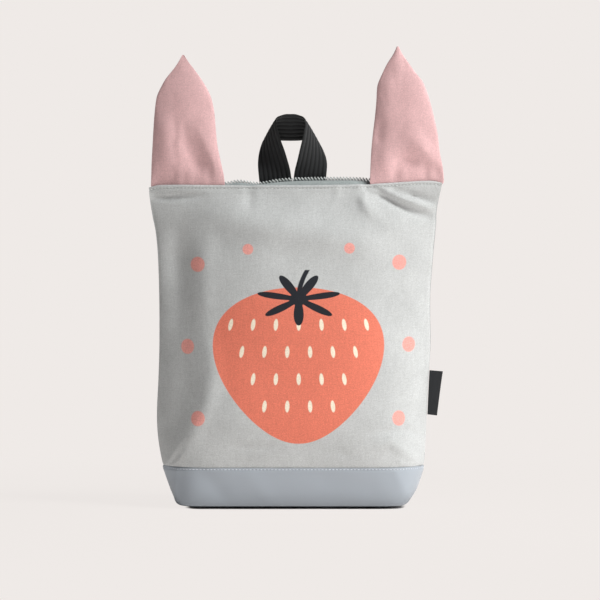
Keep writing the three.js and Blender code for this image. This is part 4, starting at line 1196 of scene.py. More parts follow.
@dataclass(frozen=True)
class Fold:
    """A fold in cloth along a path: rows of x, z and lift, as shares of a width, a height and a full fold."""

    reach: float
    path: tuple[tuple[float, float, float], ...]

    def lift(self, x: np.ndarray, z: np.ndarray, width: float, height: float) -> np.ndarray:
        """Height that the fold adds.

        Args:
            x: Places across.
            z: Places upwards.
            width: The size that shares across follow.
            height: The size that shares upwards follow.

        Returns:
            The height in millimetres, below 0 in a valley.
        """
        nearest, lift = np.full_like(x, np.inf), np.zeros_like(x)
        for (x0, z0, lift0), (x1, z1, lift1) in zip(self.path, self.path[1:]):
            ax, az = x0 * width, z0 * height
            dx, dz = x1 * width - ax, z1 * height - az
            share = np.clip(((x - ax) * dx + (z - az) * dz) / (dx * dx + dz * dz), 0, 1)
            distance = np.hypot(x - ax - share * dx, z - az - share * dz)
            lift = np.where(distance < nearest, lift0 + (lift1 - lift0) * share, lift)
            nearest = np.minimum(nearest, distance)
        return lift * PATTERN.fold * np.exp(-((nearest / (self.reach * width * 2)) ** 2))


Folds = Sequence[Fold]


def relief(folds: Folds, x: np.ndarray, z: np.ndarray, width: float, height: float) -> np.ndarray:
    """Height that several folds add, in millimetres, as Fold.lift takes and returns it."""
    return sum((fold.lift(x, z, width, height) for fold in folds), np.zeros_like(x))


FRONT_FOLDS: Folds = (
    Fold(
        0.0145,
        ((0.478, 0.991, -1.0), (0.56, 0.971, -1.3), (0.661, 0.949, -1.4),
         (0.77, 0.921, -1.2), (0.912, 0.9, -0.8)),
    ),
    Fold(
        0.013,
        ((0.573, 0.988, 0.2), (0.641, 0.972, 0.8), (0.709, 0.958, 1.1),
         (0.811, 0.945, 1.1), (0.926, 0.928, 0.7)),
    ),
    Fold(0.011, ((0.668, 0.983, -0.5), (0.79, 0.968, -1.0), (0.933, 0.948, -0.8))),
    Fold(0.033, ((0.431, 0.98, 0.3), (0.492, 0.931, 0.7), (0.614, 0.887, 0.6), (0.804, 0.853, 0.1))),
    Fold(0.0125, ((-0.994, 0.965, -1.3), (-0.865, 0.963, -1.5), (-0.729, 0.963, -0.9), (-0.566, 0.966, 0))),
    Fold(0.016, ((-0.309, 0.989, -0.5), (-0.309, 0.952, -0.5), (-0.336, 0.909, 0))),
    Fold(0.014, ((0.444, 0.986, 0.6), (0.465, 0.94, 0.7), (0.526, 0.9, 0.1))),
    Fold(0.014, ((0.282, 0.986, 0.35), (0.288, 0.934, 0))),
    Fold(
        0.058,
        ((-0.743, 0.934, 0.3), (-0.431, 0.897, 1.6), (-0.227, 0.875, 1.9),
         (0.031, 0.86, 1.9), (0.234, 0.844, 1.9), (0.438, 0.82, 1.4), (0.655, 0.782, 0.1)),
    ),
    Fold(
        0.034,
        ((-0.607, 0.872, 0.1), (-0.607, 0.798, 0.5), (-0.614, 0.69, 0.5),
         (-0.607, 0.551, 0.4), (-0.56, 0.421, 0.8), (-0.607, 0.319, 1.2), (-0.709, 0.23, 1.1), (-0.838, 0.144, 0.2)),
    ),
    Fold(
        0.042,
        ((-0.811, 0.884, -0.3), (-0.79, 0.773, -1.9), (-0.79, 0.674, -1.6),
         (-0.784, 0.505, -0.6), (-0.743, 0.372, -1.0), (-0.824, 0.258, -0.9)),
    ),
    Fold(0.0055, ((-0.77, 0.211, 0.1), (-0.824, 0.174, 0.35), (-0.879, 0.137, 0.35))),
    Fold(0.0055, ((-0.716, 0.193, 0), (-0.77, 0.162, 0.3), (-0.824, 0.131, 0.35))),
    Fold(0.0045, ((-0.845, 0.181, 0), (-0.906, 0.137, 0.3))),
    Fold(0.005, ((-0.743, 0.205, -0.1), (-0.851, 0.134, -0.35))),
    Fold(0.013, ((-0.444, 0.199, 0), (-0.336, 0.193, -0.35), (-0.187, 0.193, -0.4), (-0.051, 0.202, 0))),
    Fold(0.011, ((0.248, 0.19, 0), (0.322, 0.171, -0.35), (0.41, 0.162, 0))),
    Fold(0.014, ((0.505, 0.233, -0.2), (0.628, 0.242, -0.8), (0.743, 0.245, -0.9), (0.879, 0.224, -0.5))),
    Fold(
        0.021,
        ((0.519, 0.19, 0.1), (0.641, 0.208, 0.9), (0.722, 0.187, 1.0),
         (0.79, 0.162, 0.7), (0.851, 0.144, 0.4)),
    ),
    Fold(0.008, ((0.655, 0.156, 0), (0.729, 0.137, 0.3))),
)


@dataclass
class CanvasPanel:
    """A canvas panel of the pouch, from the base's seam to the hemmed top edge."""

    name: str
    node: str
    face: Face
    finish: Finish
    folds: Folds = ()
    rows: int = 104
    columns: int = 116
    hem: float = 2.3
    hem_groove: float = 0.5
    hem_reach: float = 0.8
    tuck: float = 2.6
    tuck_depth: float = 2.4
    seam_groove: float = 0.7
    rumple: float = 0.55
    fold_gain: float = 1.0
    lip_valley: float = 0.8
    lip_ridge: float = 1.1
    waviness: float = 1.0
    outer: np.ndarray = field(init=False, repr=False)

    def heights(self) -> np.ndarray:
        """Rows as shares of the canvas's height, close together at the seam and the hem."""
        close = 8 / PATTERN.rise
        low = np.linspace(0, close, 9)[:-1]
        high = np.linspace(1 - close, 1, 19)
        return np.concatenate([low, np.linspace(close, 1 - close, self.rows)[:-1], high])

    def places(self) -> np.ndarray:
        """Columns as shares along the cloth, close together at the side seams."""
        ends = np.array([0, 0.0025, 0.005, 0.0085, 0.013, 0.0185])
        return np.concatenate([ends, np.linspace(0.025, 0.975, self.columns), 1 - ends[::-1]])

    def build(self) -> Skin:
        """The panel's skin, outside and inside."""
        places = self.places()
        outer, inner, cloth = [], [], []
        heights = self.heights()
        for v in heights:
            share = (PATTERN.low + v * PATTERN.rise) / PATTERN.height
            seam = PATTERN.seam_gap(share)
            line, along = PATTERN.cloth_line(self.face, share, seam, places)
            inside = PATTERN.inner_line(line, PATTERN.canvas, seam, self.face)
            x = line[:, 0]
            top = PATTERN.top_edge(x)
            z = PATTERN.low + v * (top - PATTERN.low)
            u = 2 * places - 1
            edge = 1 - np.abs(u) ** 8
            sewn = (PATTERN.sewn + PATTERN.gap) / PATTERN.rise
            held = ramp(1 - 2 * sewn, 1 - sewn, v)
            folded = relief(self.folds, x, z, PATTERN.top_width / 2, PATTERN.height)
            folded = folded * self.fold_gain * (1 - np.abs(u) ** 18) * ramp(0, 0.02, v)
            lift = folded * (1 - held)
            surface_fold = np.clip(folded, -self.lip_valley, self.lip_ridge) * held
            soft = ripple(x, z, 62, 3.1 + self.face.value) * self.waviness + ripple(x, z, 21, 8.4) * 0.3 * self.rumple
            calm = edge * ramp(0, 0.09, v) * (1 - ramp(0.93, 0.985, v))
            pucker = ripple(x * 1.0, z * 0.22, 7, 5.7 + self.face.value) * 0.28 * self.rumple
            near = np.exp(-((v * PATTERN.rise / 9) ** 2)) * ramp(0, 1.5, v * PATTERN.rise)
            below_hem = np.exp(-((((1 - v) * PATTERN.rise - 8) / 5) ** 2))
            lift = lift + soft * calm + pucker * (near + 0.8 * below_hem) * edge
            down = (1 - v) * PATTERN.rise
            groove = self.hem_groove * math.exp(-(((down - self.hem) / self.hem_reach) ** 2))
            roll = 0.25 * math.exp(-(((down - 1.0) / 0.8) ** 2))
            away = (1 - np.abs(u)) * along[-1]
            side = self.seam_groove * np.exp(-((away / 1.6) ** 2)) * (1 - ramp(0.9, 0.95, v))
            tucked = 0.5 * math.exp(-((v * PATTERN.rise / 1.1) ** 2))
            pressed = groove - roll + side + tucked - surface_fold
            moved = PATTERN.inner_line(line, pressed, seam, self.face)
            outer.append(np.column_stack([moved[:, 0], moved[:, 1] + self.face.value * lift, z]))
            inner.append(np.column_stack([inside[:, 0], inside[:, 1] + self.face.value * lift, z]))
            cloth.append(np.column_stack([along, z]))
        share = PATTERN.low / PATTERN.height
        line, along = PATTERN.cloth_line(self.face, share, PATTERN.gap / 2, places)
        for drop in (self.tuck, 1.0):
            hidden = [PATTERN.inner_line(line, self.tuck_depth + k, PATTERN.gap / 2, self.face) for k in (0, 0.9)]
            if drop == 1.0:
                hidden = [PATTERN.inner_line(line, self.tuck_depth * 0.5 + k, PATTERN.gap / 2, self.face) for k in (0, 1.4)]
                place = 1
            else:
                place = 0
            level = np.full(len(along), PATTERN.low - (self.tuck if drop != 1.0 else 0.15))
            outer.insert(place, np.column_stack([hidden[0], level]))
            inner.insert(place, np.column_stack([hidden[1], level]))
            cloth.insert(place, np.column_stack([along, level]))
        grids = [np.array(g) for g in (outer, inner, cloth)]
        if self.face is Face.BACK:
            grids = [g[:, ::-1] for g in grids]
        self.outer = grids[0]
        return walled(*grids, side=0.1)

    def dress(self) -> bpy.types.Object:
        """Builds the panel and sets it on the bag."""
        piece = self.build().piece(self.name, self.finish, crease=60)
        return settle(piece, self.finish, self.node)

    def hem_line(self) -> np.ndarray:
        """Path of the hem's stitches."""
        top = self.outer[-1, :, 2]
        row = int(np.argmin(np.abs(np.median(top) - np.median(self.outer[:, :, 2], axis=1) - self.hem)))
        line = self.outer[row, 3:-3].copy()
        line[:, 1] += self.face.value * 0.3
        return line


def rings(stack: Sequence[np.ndarray], cloth: Sequence[np.ndarray]) -> Skin:
    """Closed skin of rings from the middle of the bottom to the middle of the inside, with a point at each end.

    Args:
        stack: Rings of points [point, xyz], each turning the same way.
        cloth: Pattern coordinates of each ring.

    Returns:
        The skin.
    """
    count = len(stack[0])
    ends = [np.mean(stack[0], axis=0), np.mean(stack[-1], axis=0)]
    faces = []
    for i in range(len(stack) - 1):
        for j in range(count):
            k = (j + 1) % count
            faces.append((i * count + j, i * count + k, (i + 1) * count + k, (i + 1) * count + j))
    first, last = len(stack) * count, len(stack) * count + 1
    for j in range(count):
        k = (j + 1) % count
        faces.append((first, k, j))
        faces.append((last, (len(stack) - 1) * count + j, (len(stack) - 1) * count + k))
    uv = np.vstack([*cloth, [[0, 0], [0, 0]]])
    return Skin(np.vstack([*stack, ends]), faces, uv)


@dataclass
class Base:
    """The leatherette base: walls all round and a flat bottom."""

    name: str = "leatherette_base"
    columns: int = 132
    edge_roll: float = 0.45
    stitch_drop: float = 1.7
    groove: float = 0.4
    swell: float = 0.25
    foot_depth: float = 13.0
    foot: tuple[tuple[float, float], ...] = (
        (12.0, 0.4), (8.0, 1.6), (4.0, 2.1), (1.7, 2.35), (0.8, 2.7), (0.3, 3.3), (0.05, 4.1),
    )
    ring_heights: tuple[float, ...] = (0, 0.25, 0.7, 1.3, 2.2, 3.4, 5, 7, 9.5, 12.5, 16, 20, 24, 28, 31.5, 34, 35.6, 36.4, 37, 37.6, 38.1, 38.5)
    folds: Folds = (
        Fold(0.009, ((-0.8, 0.12, 0.35), (-0.82, 0.02, 0.35))),
        Fold(0.012, ((-0.88, 0.12, -0.35), (-0.86, 0.03, -0.35))),
        Fold(0.016, ((0.68, 0.11, 0.25), (0.76, 0.03, 0.25))),
        Fold(0.03, ((-0.62, 0.11, -0.3), (-0.5, 0.05, -0.3))),
        Fold(0.03, ((-0.3, 0.1, 0.2), (-0.2, 0.04, 0.2))),
        Fold(0.03, ((0.2, 0.09, -0.2), (0.5, 0.07, -0.2))),
    )

    def ring(self, z: float, pressed: float) -> tuple[np.ndarray, np.ndarray]:
        """Outside of the base at a height, pressed inwards a little.

        Args:
            z: Height.
            pressed: How far inwards.

        Returns:
            The ring's points [x, y] and its distances along the leatherette.
        """
        share = z / PATTERN.height
        sides, along = [], []
        for face in (Face.FRONT, Face.BACK):
            line, length = PATTERN.cloth_line(face, share, 0.0, np.linspace(0, 1, self.columns + 1))
            lift = relief(self.folds, line[:, 0], np.full(len(line), z), PATTERN.top_width / 2, PATTERN.height)
            soft = ripple(line[:, 0], np.full(len(line), z), 40, 12.5 + face.value) * 0.45 * ramp(1, 8, z) * (1 - ramp(30, 37, z))
            edge = 1 - np.abs(np.linspace(-1, 1, self.columns + 1)) ** 12
            line = line - PATTERN.inwards(line, face) * ((lift * (face is Face.FRONT) + soft) * edge)[:, None]
            line = line + PATTERN.inwards(line, face) * pressed
            line[[0, -1], 1] = 0
            sides.append(line if face is Face.FRONT else line[::-1])
            along.append(length if face is Face.FRONT else length[::-1])
        return np.vstack([sides[0][:-1], sides[1][:-1]]), np.concatenate([along[0][:-1], along[1][:-1]])

    def profile(self, z: float) -> float:
        """How far the edge's roll and the stitches' groove press the outside in at a height."""
        down = PATTERN.base_height - z
        roll = self.edge_roll * (1 - ramp(0, 1.0, down))
        groove = self.groove * math.exp(-(((down - self.stitch_drop) / 0.8) ** 2))
        swell = self.swell * math.exp(-(((down - 3.6) / 1.6) ** 2))
        return float(roll + groove - swell)

    def dress(self) -> bpy.types.Object:
        """Builds the base and sets it on the bag."""
        stack, cloth = [], []

        def put(z: float, pressed: float, level: float, shrink: float = 1.0) -> None:
            """Adds one ring."""
            points, along = self.ring(z, pressed)
            stack.append(np.column_stack([points * shrink, np.full(len(points), level)]))
            cloth.append(np.column_stack([along, np.full(len(points), z)]))

        for shrink in (0.3, 0.7, 0.97):
            put(0, self.foot_depth, 0, shrink)
        for inward, level in self.foot:
            put(level, self.profile(level) + inward, level)
        for z in self.ring_heights:
            if z > self.foot[-1][1]:
                put(z, self.profile(z), z)
        for z in (38.5, 37.4, 34, 26, 16, 8):
            put(z, PATTERN.leatherette, z)
        put(4, PATTERN.leatherette * 1.5, PATTERN.floor)
        for shrink in (0.7, 0.3):
            put(4, PATTERN.leatherette * 1.5, PATTERN.floor, shrink)
        piece = rings(stack, cloth).piece(self.name, LEATHERETTE, crease=70)
        return settle(piece, LEATHERETTE, "base_shell")

    def seam_line(self) -> np.ndarray:
        """Path of the topstitches all round."""
        z = PATTERN.base_height - self.stitch_drop
        points, _ = self.ring(z, self.profile(z) - 0.25)
        closed = np.vstack([points, points[:1]])
        return np.column_stack([closed, np.full(len(closed), z)])


# Ears


@dataclass
class Ear:
    """A padded cotton ear, sewn in behind the front's top edge."""

    name: str
    node: str
    side: Side
    height: float
    inset: float
    outline: Table
    folds: Folds
    layer: float
    width: float = 69.0
    loft: float = 12.0
    edge: float = 1.4
    tab: float = 5.5
    tab_width: float = 57.0
    fold_gain: float = 1.9
    lean: float = 12.0
    columns: int = 26
    rows: int = 46
    tab_rows: int = 2
    slack: float = 0.8
    pressure: float = 3.0
    most: float = 3.2
    in_plane: float = 0.45
    swell: Table = Table(
        "up swell",
        ((0, 0), (0.04, 0.16), (0.12, 0.45), (0.25, 0.78), (0.42, 1), (0.6, 0.92), (0.75, 0.7), (0.88, 0.4), (1, 0)),
    )

    @property
    def middle(self) -> float:
        """Where the ear's middle is across the pouch."""
        return self.side.value * (PATTERN.top_width / 2 - self.inset - self.width / 2)

    def foot(self, x: np.ndarray | float) -> np.ndarray:
        """Depth of the ear's middle where it is sewn in."""
        half = PATTERN.top_width / 2
        return -(PATTERN.lining(Face.FRONT, np.clip(x, -half, half)) - PATTERN.gap - self.edge / 2)

    def build(self) -> tuple[Skin, np.ndarray]:
        """The ear before it is filled.

        Returns:
            Its skin and, for each point, how firmly the seams hold it.
        """
        front, rear, held, cloth = [], [], [], []
        half = PATTERN.top_width / 2
        for i in range(-self.tab_rows, self.rows + 1):
            up = max(0.0, i / self.rows)
            narrow = 1 + (i / self.tab_rows) * (1 - self.tab_width / self.width) if i < 0 else 1.0
            left = self.outline.at("left", up) * self.width * narrow
            right = self.outline.at("right", up) * self.width * narrow
            turn = np.linspace(-1, 1, self.columns + 1)
            s = np.sin(turn * math.pi / 2) * 0.5 + turn * 0.5
            x = self.middle + (left + right) / 2 + s * (right - left) / 2
            z = PATTERN.top_edge(np.clip(x, -half, half)) + (i / self.tab_rows * self.tab if i < 0 else up * self.height)
            level = np.full(len(x), up * self.height)
            fold = relief(self.folds, x - self.middle, level, self.width, self.height) * self.fold_gain
            gather = ripple(x, np.full(len(x), up * 14.0), 6.5, self.layer) * 1.1 * ramp(0, 0.03, up) * (1 - ramp(0.08, 0.22, up))
            soft = ripple(x, z, 26, self.layer + 2) * 0.9 * ramp(0.1, 0.3, up)
            fold = fold * (1 - s**4) * ramp(0.02, 0.2, up) * (1 - ramp(0.8, 1, up)) + (gather + soft) * (1 - s**4)
            y = self.foot(x) + (self.foot(self.middle) - self.foot(x)) * ramp(0, 0.5, up) - self.lean * up**1.4
            swell = self.loft / 2 * self.slack * float(self.swell.at("swell", up)) * (1 - s * s) ** 0.6
            thick = self.edge / 2 + swell
            front.append(np.column_stack([x, y - thick - fold, z]))
            rear.append(np.column_stack([x, y + thick - fold * 0.3, z]))
            cloth.append(np.column_stack([x - self.middle, z]))
            firm = np.full(len(x), 1.0 if i <= 1 else 0.0)
            firm[[0, -1]] = 1.0
            held.append(firm)
        skin = walled(np.array(front), np.array(rear), np.array(cloth), side=0.3, end=0.3)
        grid = np.column_stack([held[0], held[0]])
        weights = np.zeros(len(skin.points))
        levels = skin.points[:, 2]
        foot = PATTERN.top_edge(np.clip(skin.points[:, 0], -half, half))
        weights[levels < foot + 2.5] = 1.0
        size = 2 * (self.columns + 1) + 6
        ring = np.arange(len(skin.points)) % size
        across = self.columns + 1
        seam = (ring == 0) | ((ring >= across - 1) & (ring <= across + 3)) | (ring >= 2 * across + 2)
        weights[seam] = 1.0
        return skin, weights

    def fill(self, piece: bpy.types.Object, weights: np.ndarray) -> None:
        """Blows the ear up softly with a cloth simulation and keeps the result in its mesh.

        Args:
            piece: The ear.
            weights: How firmly each point is held.
        """
        group = piece.vertex_groups.new(name="held")
        for i in np.nonzero(weights)[0]:
            group.add([int(i)], float(weights[i]), "REPLACE")
        rest = np.array([v.co for v in piece.data.vertices])
        cloth = piece.modifiers.new("filling", "CLOTH")
        cloth.settings.quality = 6
        cloth.settings.mass = 0.2
        cloth.settings.tension_stiffness = 12
        cloth.settings.compression_stiffness = 12
        cloth.settings.shear_stiffness = 4
        cloth.settings.bending_stiffness = 0.02
        cloth.settings.use_pressure = True
        cloth.settings.uniform_pressure_force = self.pressure
        cloth.settings.vertex_group_mass = group.name
        cloth.settings.effector_weights.gravity = 0
        cloth.collision_settings.use_collision = False
        scene = bpy.context.scene
        for step in range(1, 21):
            scene.frame_set(step)
        graph = bpy.context.evaluated_depsgraph_get()
        shown = piece.evaluated_get(graph).to_mesh()
        filled = np.array([v.co for v in shown.vertices])
        piece.modifiers.remove(cloth)
        piece.vertex_groups.clear()
        scene.frame_set(1)
        move = (filled - rest) * np.array([self.in_plane, 1.0, self.in_plane])
        size = np.linalg.norm(move, axis=1, keepdims=True)
        cap = self.most * MM
        move *= cap * np.tanh(size / cap) / np.maximum(size, 1e-9)
        piece.data.vertices.foreach_set("co", (rest + move).astype(np.float32).ravel())
        piece.data.update()

    def dress(self) -> bpy.types.Object:
        """Builds the ear, fills it and sets it on the bag."""
        skin, weights = self.build()
        piece = skin.piece(self.name, COTTON, crease=75)
        self.fill(piece, weights)
        fine = piece.modifiers.new("fine", "SUBSURF")
        fine.levels = fine.render_levels = 1
        settle(piece, COTTON, self.node)
        return piece


LEFT_EAR_OUTLINE = Table(
    "up left right",
    (
        (0, -0.5, 0.5),
        (0.096, -0.493, 0.478),
        (0.184, -0.488, 0.443),
        (0.316, -0.473, 0.396),
        (0.449, -0.458, 0.373),
        (0.563, -0.442, 0.357),
        (0.669, -0.418, 0.32),
        (0.704, -0.399, 0.297),
        (0.757, -0.353, 0.25),
        (0.819, -0.291, 0.182),
        (0.899, -0.176, 0.081),
        (0.95, -0.115, 0.01),
        (1, -0.068, -0.044),
    ),
)
RIGHT_EAR_OUTLINE = Table(
    "up left right",
    (
        (0, -0.5, 0.5),
        (0.104, -0.492, 0.485),
        (0.232, -0.481, 0.437),
        (0.358, -0.461, 0.408),
        (0.485, -0.433, 0.354),
        (0.611, -0.412, 0.292),
        (0.704, -0.404, 0.231),
        (0.74, -0.392, 0.2),
        (0.797, -0.346, 0.116),
        (0.882, -0.268, 0.009),
        (0.95, -0.184, -0.076),
        (1, -0.142, -0.118),
    ),
)
LEFT_EAR_FOLDS: Folds = (
    Fold(0.08, ((-0.155, 0.6, 0), (0.0, 0.33, -0.7), (0.13, 0.2, -0.9), (0.262, 0.05, -0.8))),
    Fold(0.055, ((0.22, 0.52, 0.2), (0.36, 0.25, 0.6), (0.43, 0.1, 0.6))),
    Fold(0.1, ((-0.37, 0.42, 0.4), (-0.37, 0.08, 0.8))),
)
RIGHT_EAR_FOLDS: Folds = (
    Fold(0.07, ((-0.12, 0.22, 0), (-0.02, 0.16, -0.7), (0.34, 0.04, -0.8))),
    Fold(0.07, ((0.04, 0.36, 0.2), (0.22, 0.25, 0.7), (0.42, 0.14, 0.6))),
    Fold(0.05, ((-0.4, 0.42, -0.5), (-0.42, 0.34, -0.5))),
    Fold(0.06, ((-0.27, 0.72, 0.3), (-0.3, 0.12, 0.45))),
    Fold(0.04, ((0.12, 0.07, 0.4), (0.2, 0.11, 0.4))),
)


# Zip


@dataclass
class Zip:
    """The closed zip between the ears: two tapes, the teeth, the slider and its pull."""

    length: float = 202.0
    tape_length: float = 218.0
    tape: float = 1.0
    tape_tab: float = 6.0
    chain_width: float = 6.0
    chain_thick: float = 2.4
    pitch: float = 3.0
    set_back: float = 1.6
    bared: float = 1.9
    tooth_height: float = 3.4
    tooth_lean: float = -0.6
    rear_drop: float = 1.3
    rise: float = 7.0
    slider_inset: float = 7.0
    slider_length: float = 9.0
    slider_width: float = 8.6
    slider_plate: float = 1.2
    bail_length: float = 7.0
    bail_rise: float = 4.2
    bail_bar: float = 1.3
    bail_width: float = 2.0
    pull_length: float = 20.0
    pull_width: float = 5.6
    pull_thick: float = 1.3
    pull_eye: float = 4.0
    rest_tilt: float = 2.0
    tape_facets: int = 26
    columns: int = 150
    wave: Table = Table(
        "across rise",
        (
            (-0.75, 0.45),
            (-0.47, 0.4),
            (-0.39, 0.68),
            (-0.25, 0.36),
            (-0.12, 0.78),
            (0, 0.95),
            (0.3, 1),
            (0.44, 0.86),
            (0.54, 0.6),
            (0.75, 0.55),
        ),
    )

    def chain_height(self, x: np.ndarray | float) -> np.ndarray:
        """Height of the chain's middle at x."""
        return PATTERN.top_edge(x) + self.rise * self.wave.at("rise", np.asarray(x) / (PATTERN.top_width / 2))

    def beside(self, x: np.ndarray, middle: float, half: float) -> np.ndarray:
        """1 where a tape passes a layer, 0 past the next facets."""
        step = self.tape_length / self.tape_facets
        return 1 - ramp(step, 2 * step, np.abs(x - middle) - half)

    def tape_depth(self, face: Face, x: np.ndarray, ears: Sequence[Ear], loop: "CarryingLoop") -> np.ndarray:
        """Outer depth of a tape, behind the panel, an ear's foot or the loop's feet."""
        free = PATTERN.lining(face, x) - PATTERN.gap
        if face is Face.BACK:
            passed = loop.depth - loop.webbing / 2 - PATTERN.gap
            share = self.beside(x, loop.offset, loop.width)
            return free + (passed - free) * share
        past = np.max([self.beside(x, ear.middle, ear.width / 2) for ear in ears], axis=0)
        return free - past * (ears[0].edge + PATTERN.gap)

    def tapes(self, ears: Sequence[Ear], loop: "CarryingLoop") -> list[bpy.types.Object]:
        """Builds both tapes."""
        made = []
        x = (np.linspace(0, 1, self.columns + 1) - 0.5) * self.tape_length
        for face in Face:
            wall = face.value * self.tape_depth(face, x, ears, loop)
            edge = np.full_like(x, self.set_back + face.value * (self.chain_width / 2 - 0.4))
            lip, crest = PATTERN.top_edge(x), self.chain_height(x)
            middle = wall + (edge - wall) * 0.45
            knots = [
                (wall, lip - self.tape_tab),
                (wall, lip - self.tape),
                (middle, lip + (crest - lip) * 0.6),
                (edge, crest - self.bared),
            ]
            stack = np.array([np.column_stack([x, y - face.value * self.tape / 2, z - self.tape / 4]) for y, z in knots])
            shares = np.linspace(0, 1, 13)
            smooth = np.array([curve_through(stack[:, j], shares) for j in range(len(x))]).transpose(1, 0, 2)
            cloth = np.array([np.column_stack([x, np.full_like(x, k * 1.1)]) for k in range(len(shares))])
            if face is Face.BACK:
                smooth, cloth = smooth[:, ::-1], cloth[:, ::-1]
            name = f"zip_tape_{face.name.lower()}"
            piece = about(smooth, self.tape * 0.8, cloth).piece(name + "_woven", TAPE)
            made.append(settle(piece, TAPE, name))
        return made

    def teeth(self, recipe: ToothRecipe) -> bpy.types.Object:
        """Builds the closed teeth along the chain's wave."""
        x = np.linspace(-self.length / 2, self.length / 2, 240)
        line = np.column_stack([x, np.full_like(x, self.set_back), self.chain_height(x)])
        sizes = {
            "Pitch": self.pitch * MM,
            "Tooth Length": self.pitch * 0.46 * MM,
            "Tooth Reach": self.chain_width * 0.6 * MM,
            "Tooth Height": self.tooth_height * MM,
            "Lean": self.tooth_lean,
            "Shift": self.chain_width * 0.2 * MM,
            "Drop": self.rear_drop * MM,
        }
        piece = recipe.apply(path_object([line]), "zip_teeth", TEETH, sizes)
        return settle(piece, TEETH, "zip_chain")

    def runner(self) -> Matrix:
        """Place of the slider: on the chain, tilted by its climb."""
        x = self.length / 2 - self.slider_inset
        half = self.slider_length / 2
        climb = float(self.chain_height(x + half) - self.chain_height(x - half)) / self.slider_length
        z = float(self.chain_height(x)) + self.chain_thick / 2 + PATTERN.gap
        return Matrix.Translation((x, self.set_back, z)) @ Matrix.Rotation(-math.atan(climb), 4, "Y")

    def slider(self) -> bpy.types.Object:
        """Builds the slider: a waisted plate with turned-down edges and a bail."""
        place = self.runner()
        half, width = self.slider_length / 2, self.slider_width / 2
        plate = rounded(
            [(-half, -width * 0.72), (-half * 0.3, -width), (half, -width), (half, width), (-half * 0.3, width), (-half, width * 0.72)],
            1.6,
        )
        level = Matrix.Translation((0, 0, self.slider_plate / 2))
        body = moulded("zip_slider_cast", plate, [], self.slider_plate, 0.35, NICKEL, place @ level)
        low, high = self.slider_plate / 2, self.slider_plate + self.bail_rise
        reach, inset = self.bail_length / 2, self.bail_length / 2 - self.bail_bar
        arch = rounded([(-reach, low), (reach, low), (reach, high), (-reach, high)], 1.6)
        hole = rounded([(-inset, self.slider_plate), (-inset, high - self.bail_bar), (inset, high - self.bail_bar), (inset, self.slider_plate)], 0.5)
        upright = Matrix.Rotation(math.pi / 2, 4, "X")
        bail = moulded("bail", arch, [hole], self.bail_width, 0.3, NICKEL, place @ upright)
        skirts = []
        channel = self.chain_width / 2 + PATTERN.gap
        for sign in (-1, 1):
            strip = rounded([(-half * 0.8, -0.5), (half * 0.9, -0.5), (half * 0.9, 0.4), (-half * 0.8, 0.4)], 0.3)
            across = Matrix.Translation((0, sign * (channel + width) / 2, 0)) @ upright
            skirts.append(moulded("skirt", strip, [], width - channel - 0.1, 0.2, NICKEL, place @ across))
        merged = join(body, [bail, *skirts])
        return settle(merged, NICKEL, "zip_slider")

    def pull(self) -> bpy.types.Object:
        """Builds the pull, which lies along the chain and swings on the bail."""
        half, bar, tip = self.pull_width / 2, self.pull_thick, self.pull_length
        hole = self.slider_plate + (self.bail_rise - self.bail_bar) / 2
        tilt = Matrix.Rotation(-math.radians(self.rest_tilt), 4, "Y")
        place = self.runner() @ Matrix.Translation((0, 0, hole)) @ tilt
        outline = rounded([(bar / 2, -half), (bar / 2, half), (-tip * 0.45, half * 0.86), (-tip, half), (-tip, -half), (-tip * 0.45, -half * 0.86)][::-1], 1.5)
        eye_half = self.bail_width / 2 + PATTERN.gap
        eye = rounded([(-bar / 2, -eye_half), (-bar / 2 - self.pull_eye, -eye_half), (-bar / 2 - self.pull_eye, eye_half), (-bar / 2, eye_half)], 0.3)
        window = rounded([(-tip + 8.5, -1.1), (-tip + 2.2, -1.1), (-tip + 2.2, 1.1), (-tip + 8.5, 1.1)], 1.1)
        piece = moulded("zip_pull_cast", outline, [eye, window], self.pull_thick, 0.3, NICKEL, place)
        return settle(piece, NICKEL, "zip_pull", body=Body.PULL)


def join(first: bpy.types.Object, others: Sequence[bpy.types.Object]) -> bpy.types.Object:
    """Several objects as one, with the first one's name."""
    work = bmesh.new()
    for piece in (first, *others):
        work.from_mesh(piece.data)
    work.to_mesh(first.data)
    work.free()
    for piece in others:
        bpy.data.objects.remove(piece)
    return first


# Webbing


@dataclass
class Band:
    """A length of ribbed webbing along a grid of points."""

    name: str
    nodes: tuple[str, ...]
    width: float = 30.0
    thickness: float = 1.6
    ribs: int = 7
    rib_depth: float = 0.6
    per_rib: int = 6

    def dress(self, near: np.ndarray, far: np.ndarray, bow: np.ndarray | None, recipe: RibRecipe) -> bpy.types.Object:
        """Builds the band between its two edges.

        Args:
            near: Points of one edge.
            far: Points of the other edge.
            bow: How far the middle stands out of the straight line between them, or None.
            recipe: The ribs' recipe.

        Returns:
            The finished band.
        """
        columns = self.ribs * self.per_rib
        s = np.linspace(0, 1, columns + 1)[None, :, None]
        mid = near[:, None] * (1 - s) + far[:, None] * s
        if bow is not None:
            mid = mid + bow[:, None] * 4 * s * (1 - s)
        centre = (near + far) / 2
        run = np.concatenate([[0], np.cumsum(np.linalg.norm(np.diff(centre, axis=0), axis=1))])
        grid_u, grid_v = np.meshgrid(s[0, :, 0] * self.width, run)
        cloth = np.stack([grid_u, grid_v], axis=2)
        skin = about(mid, self.thickness - self.rib_depth, cloth, side=0.9, end=0.8)
        sizes = {"Rib Pitch": self.width / self.ribs * MM, "Rib Depth": self.rib_depth * MM}
        piece = recipe.apply(skin.piece(self.name + "_flat", WEBBING), self.name, WEBBING, sizes)
        return settle(piece, WEBBING, *self.nodes)


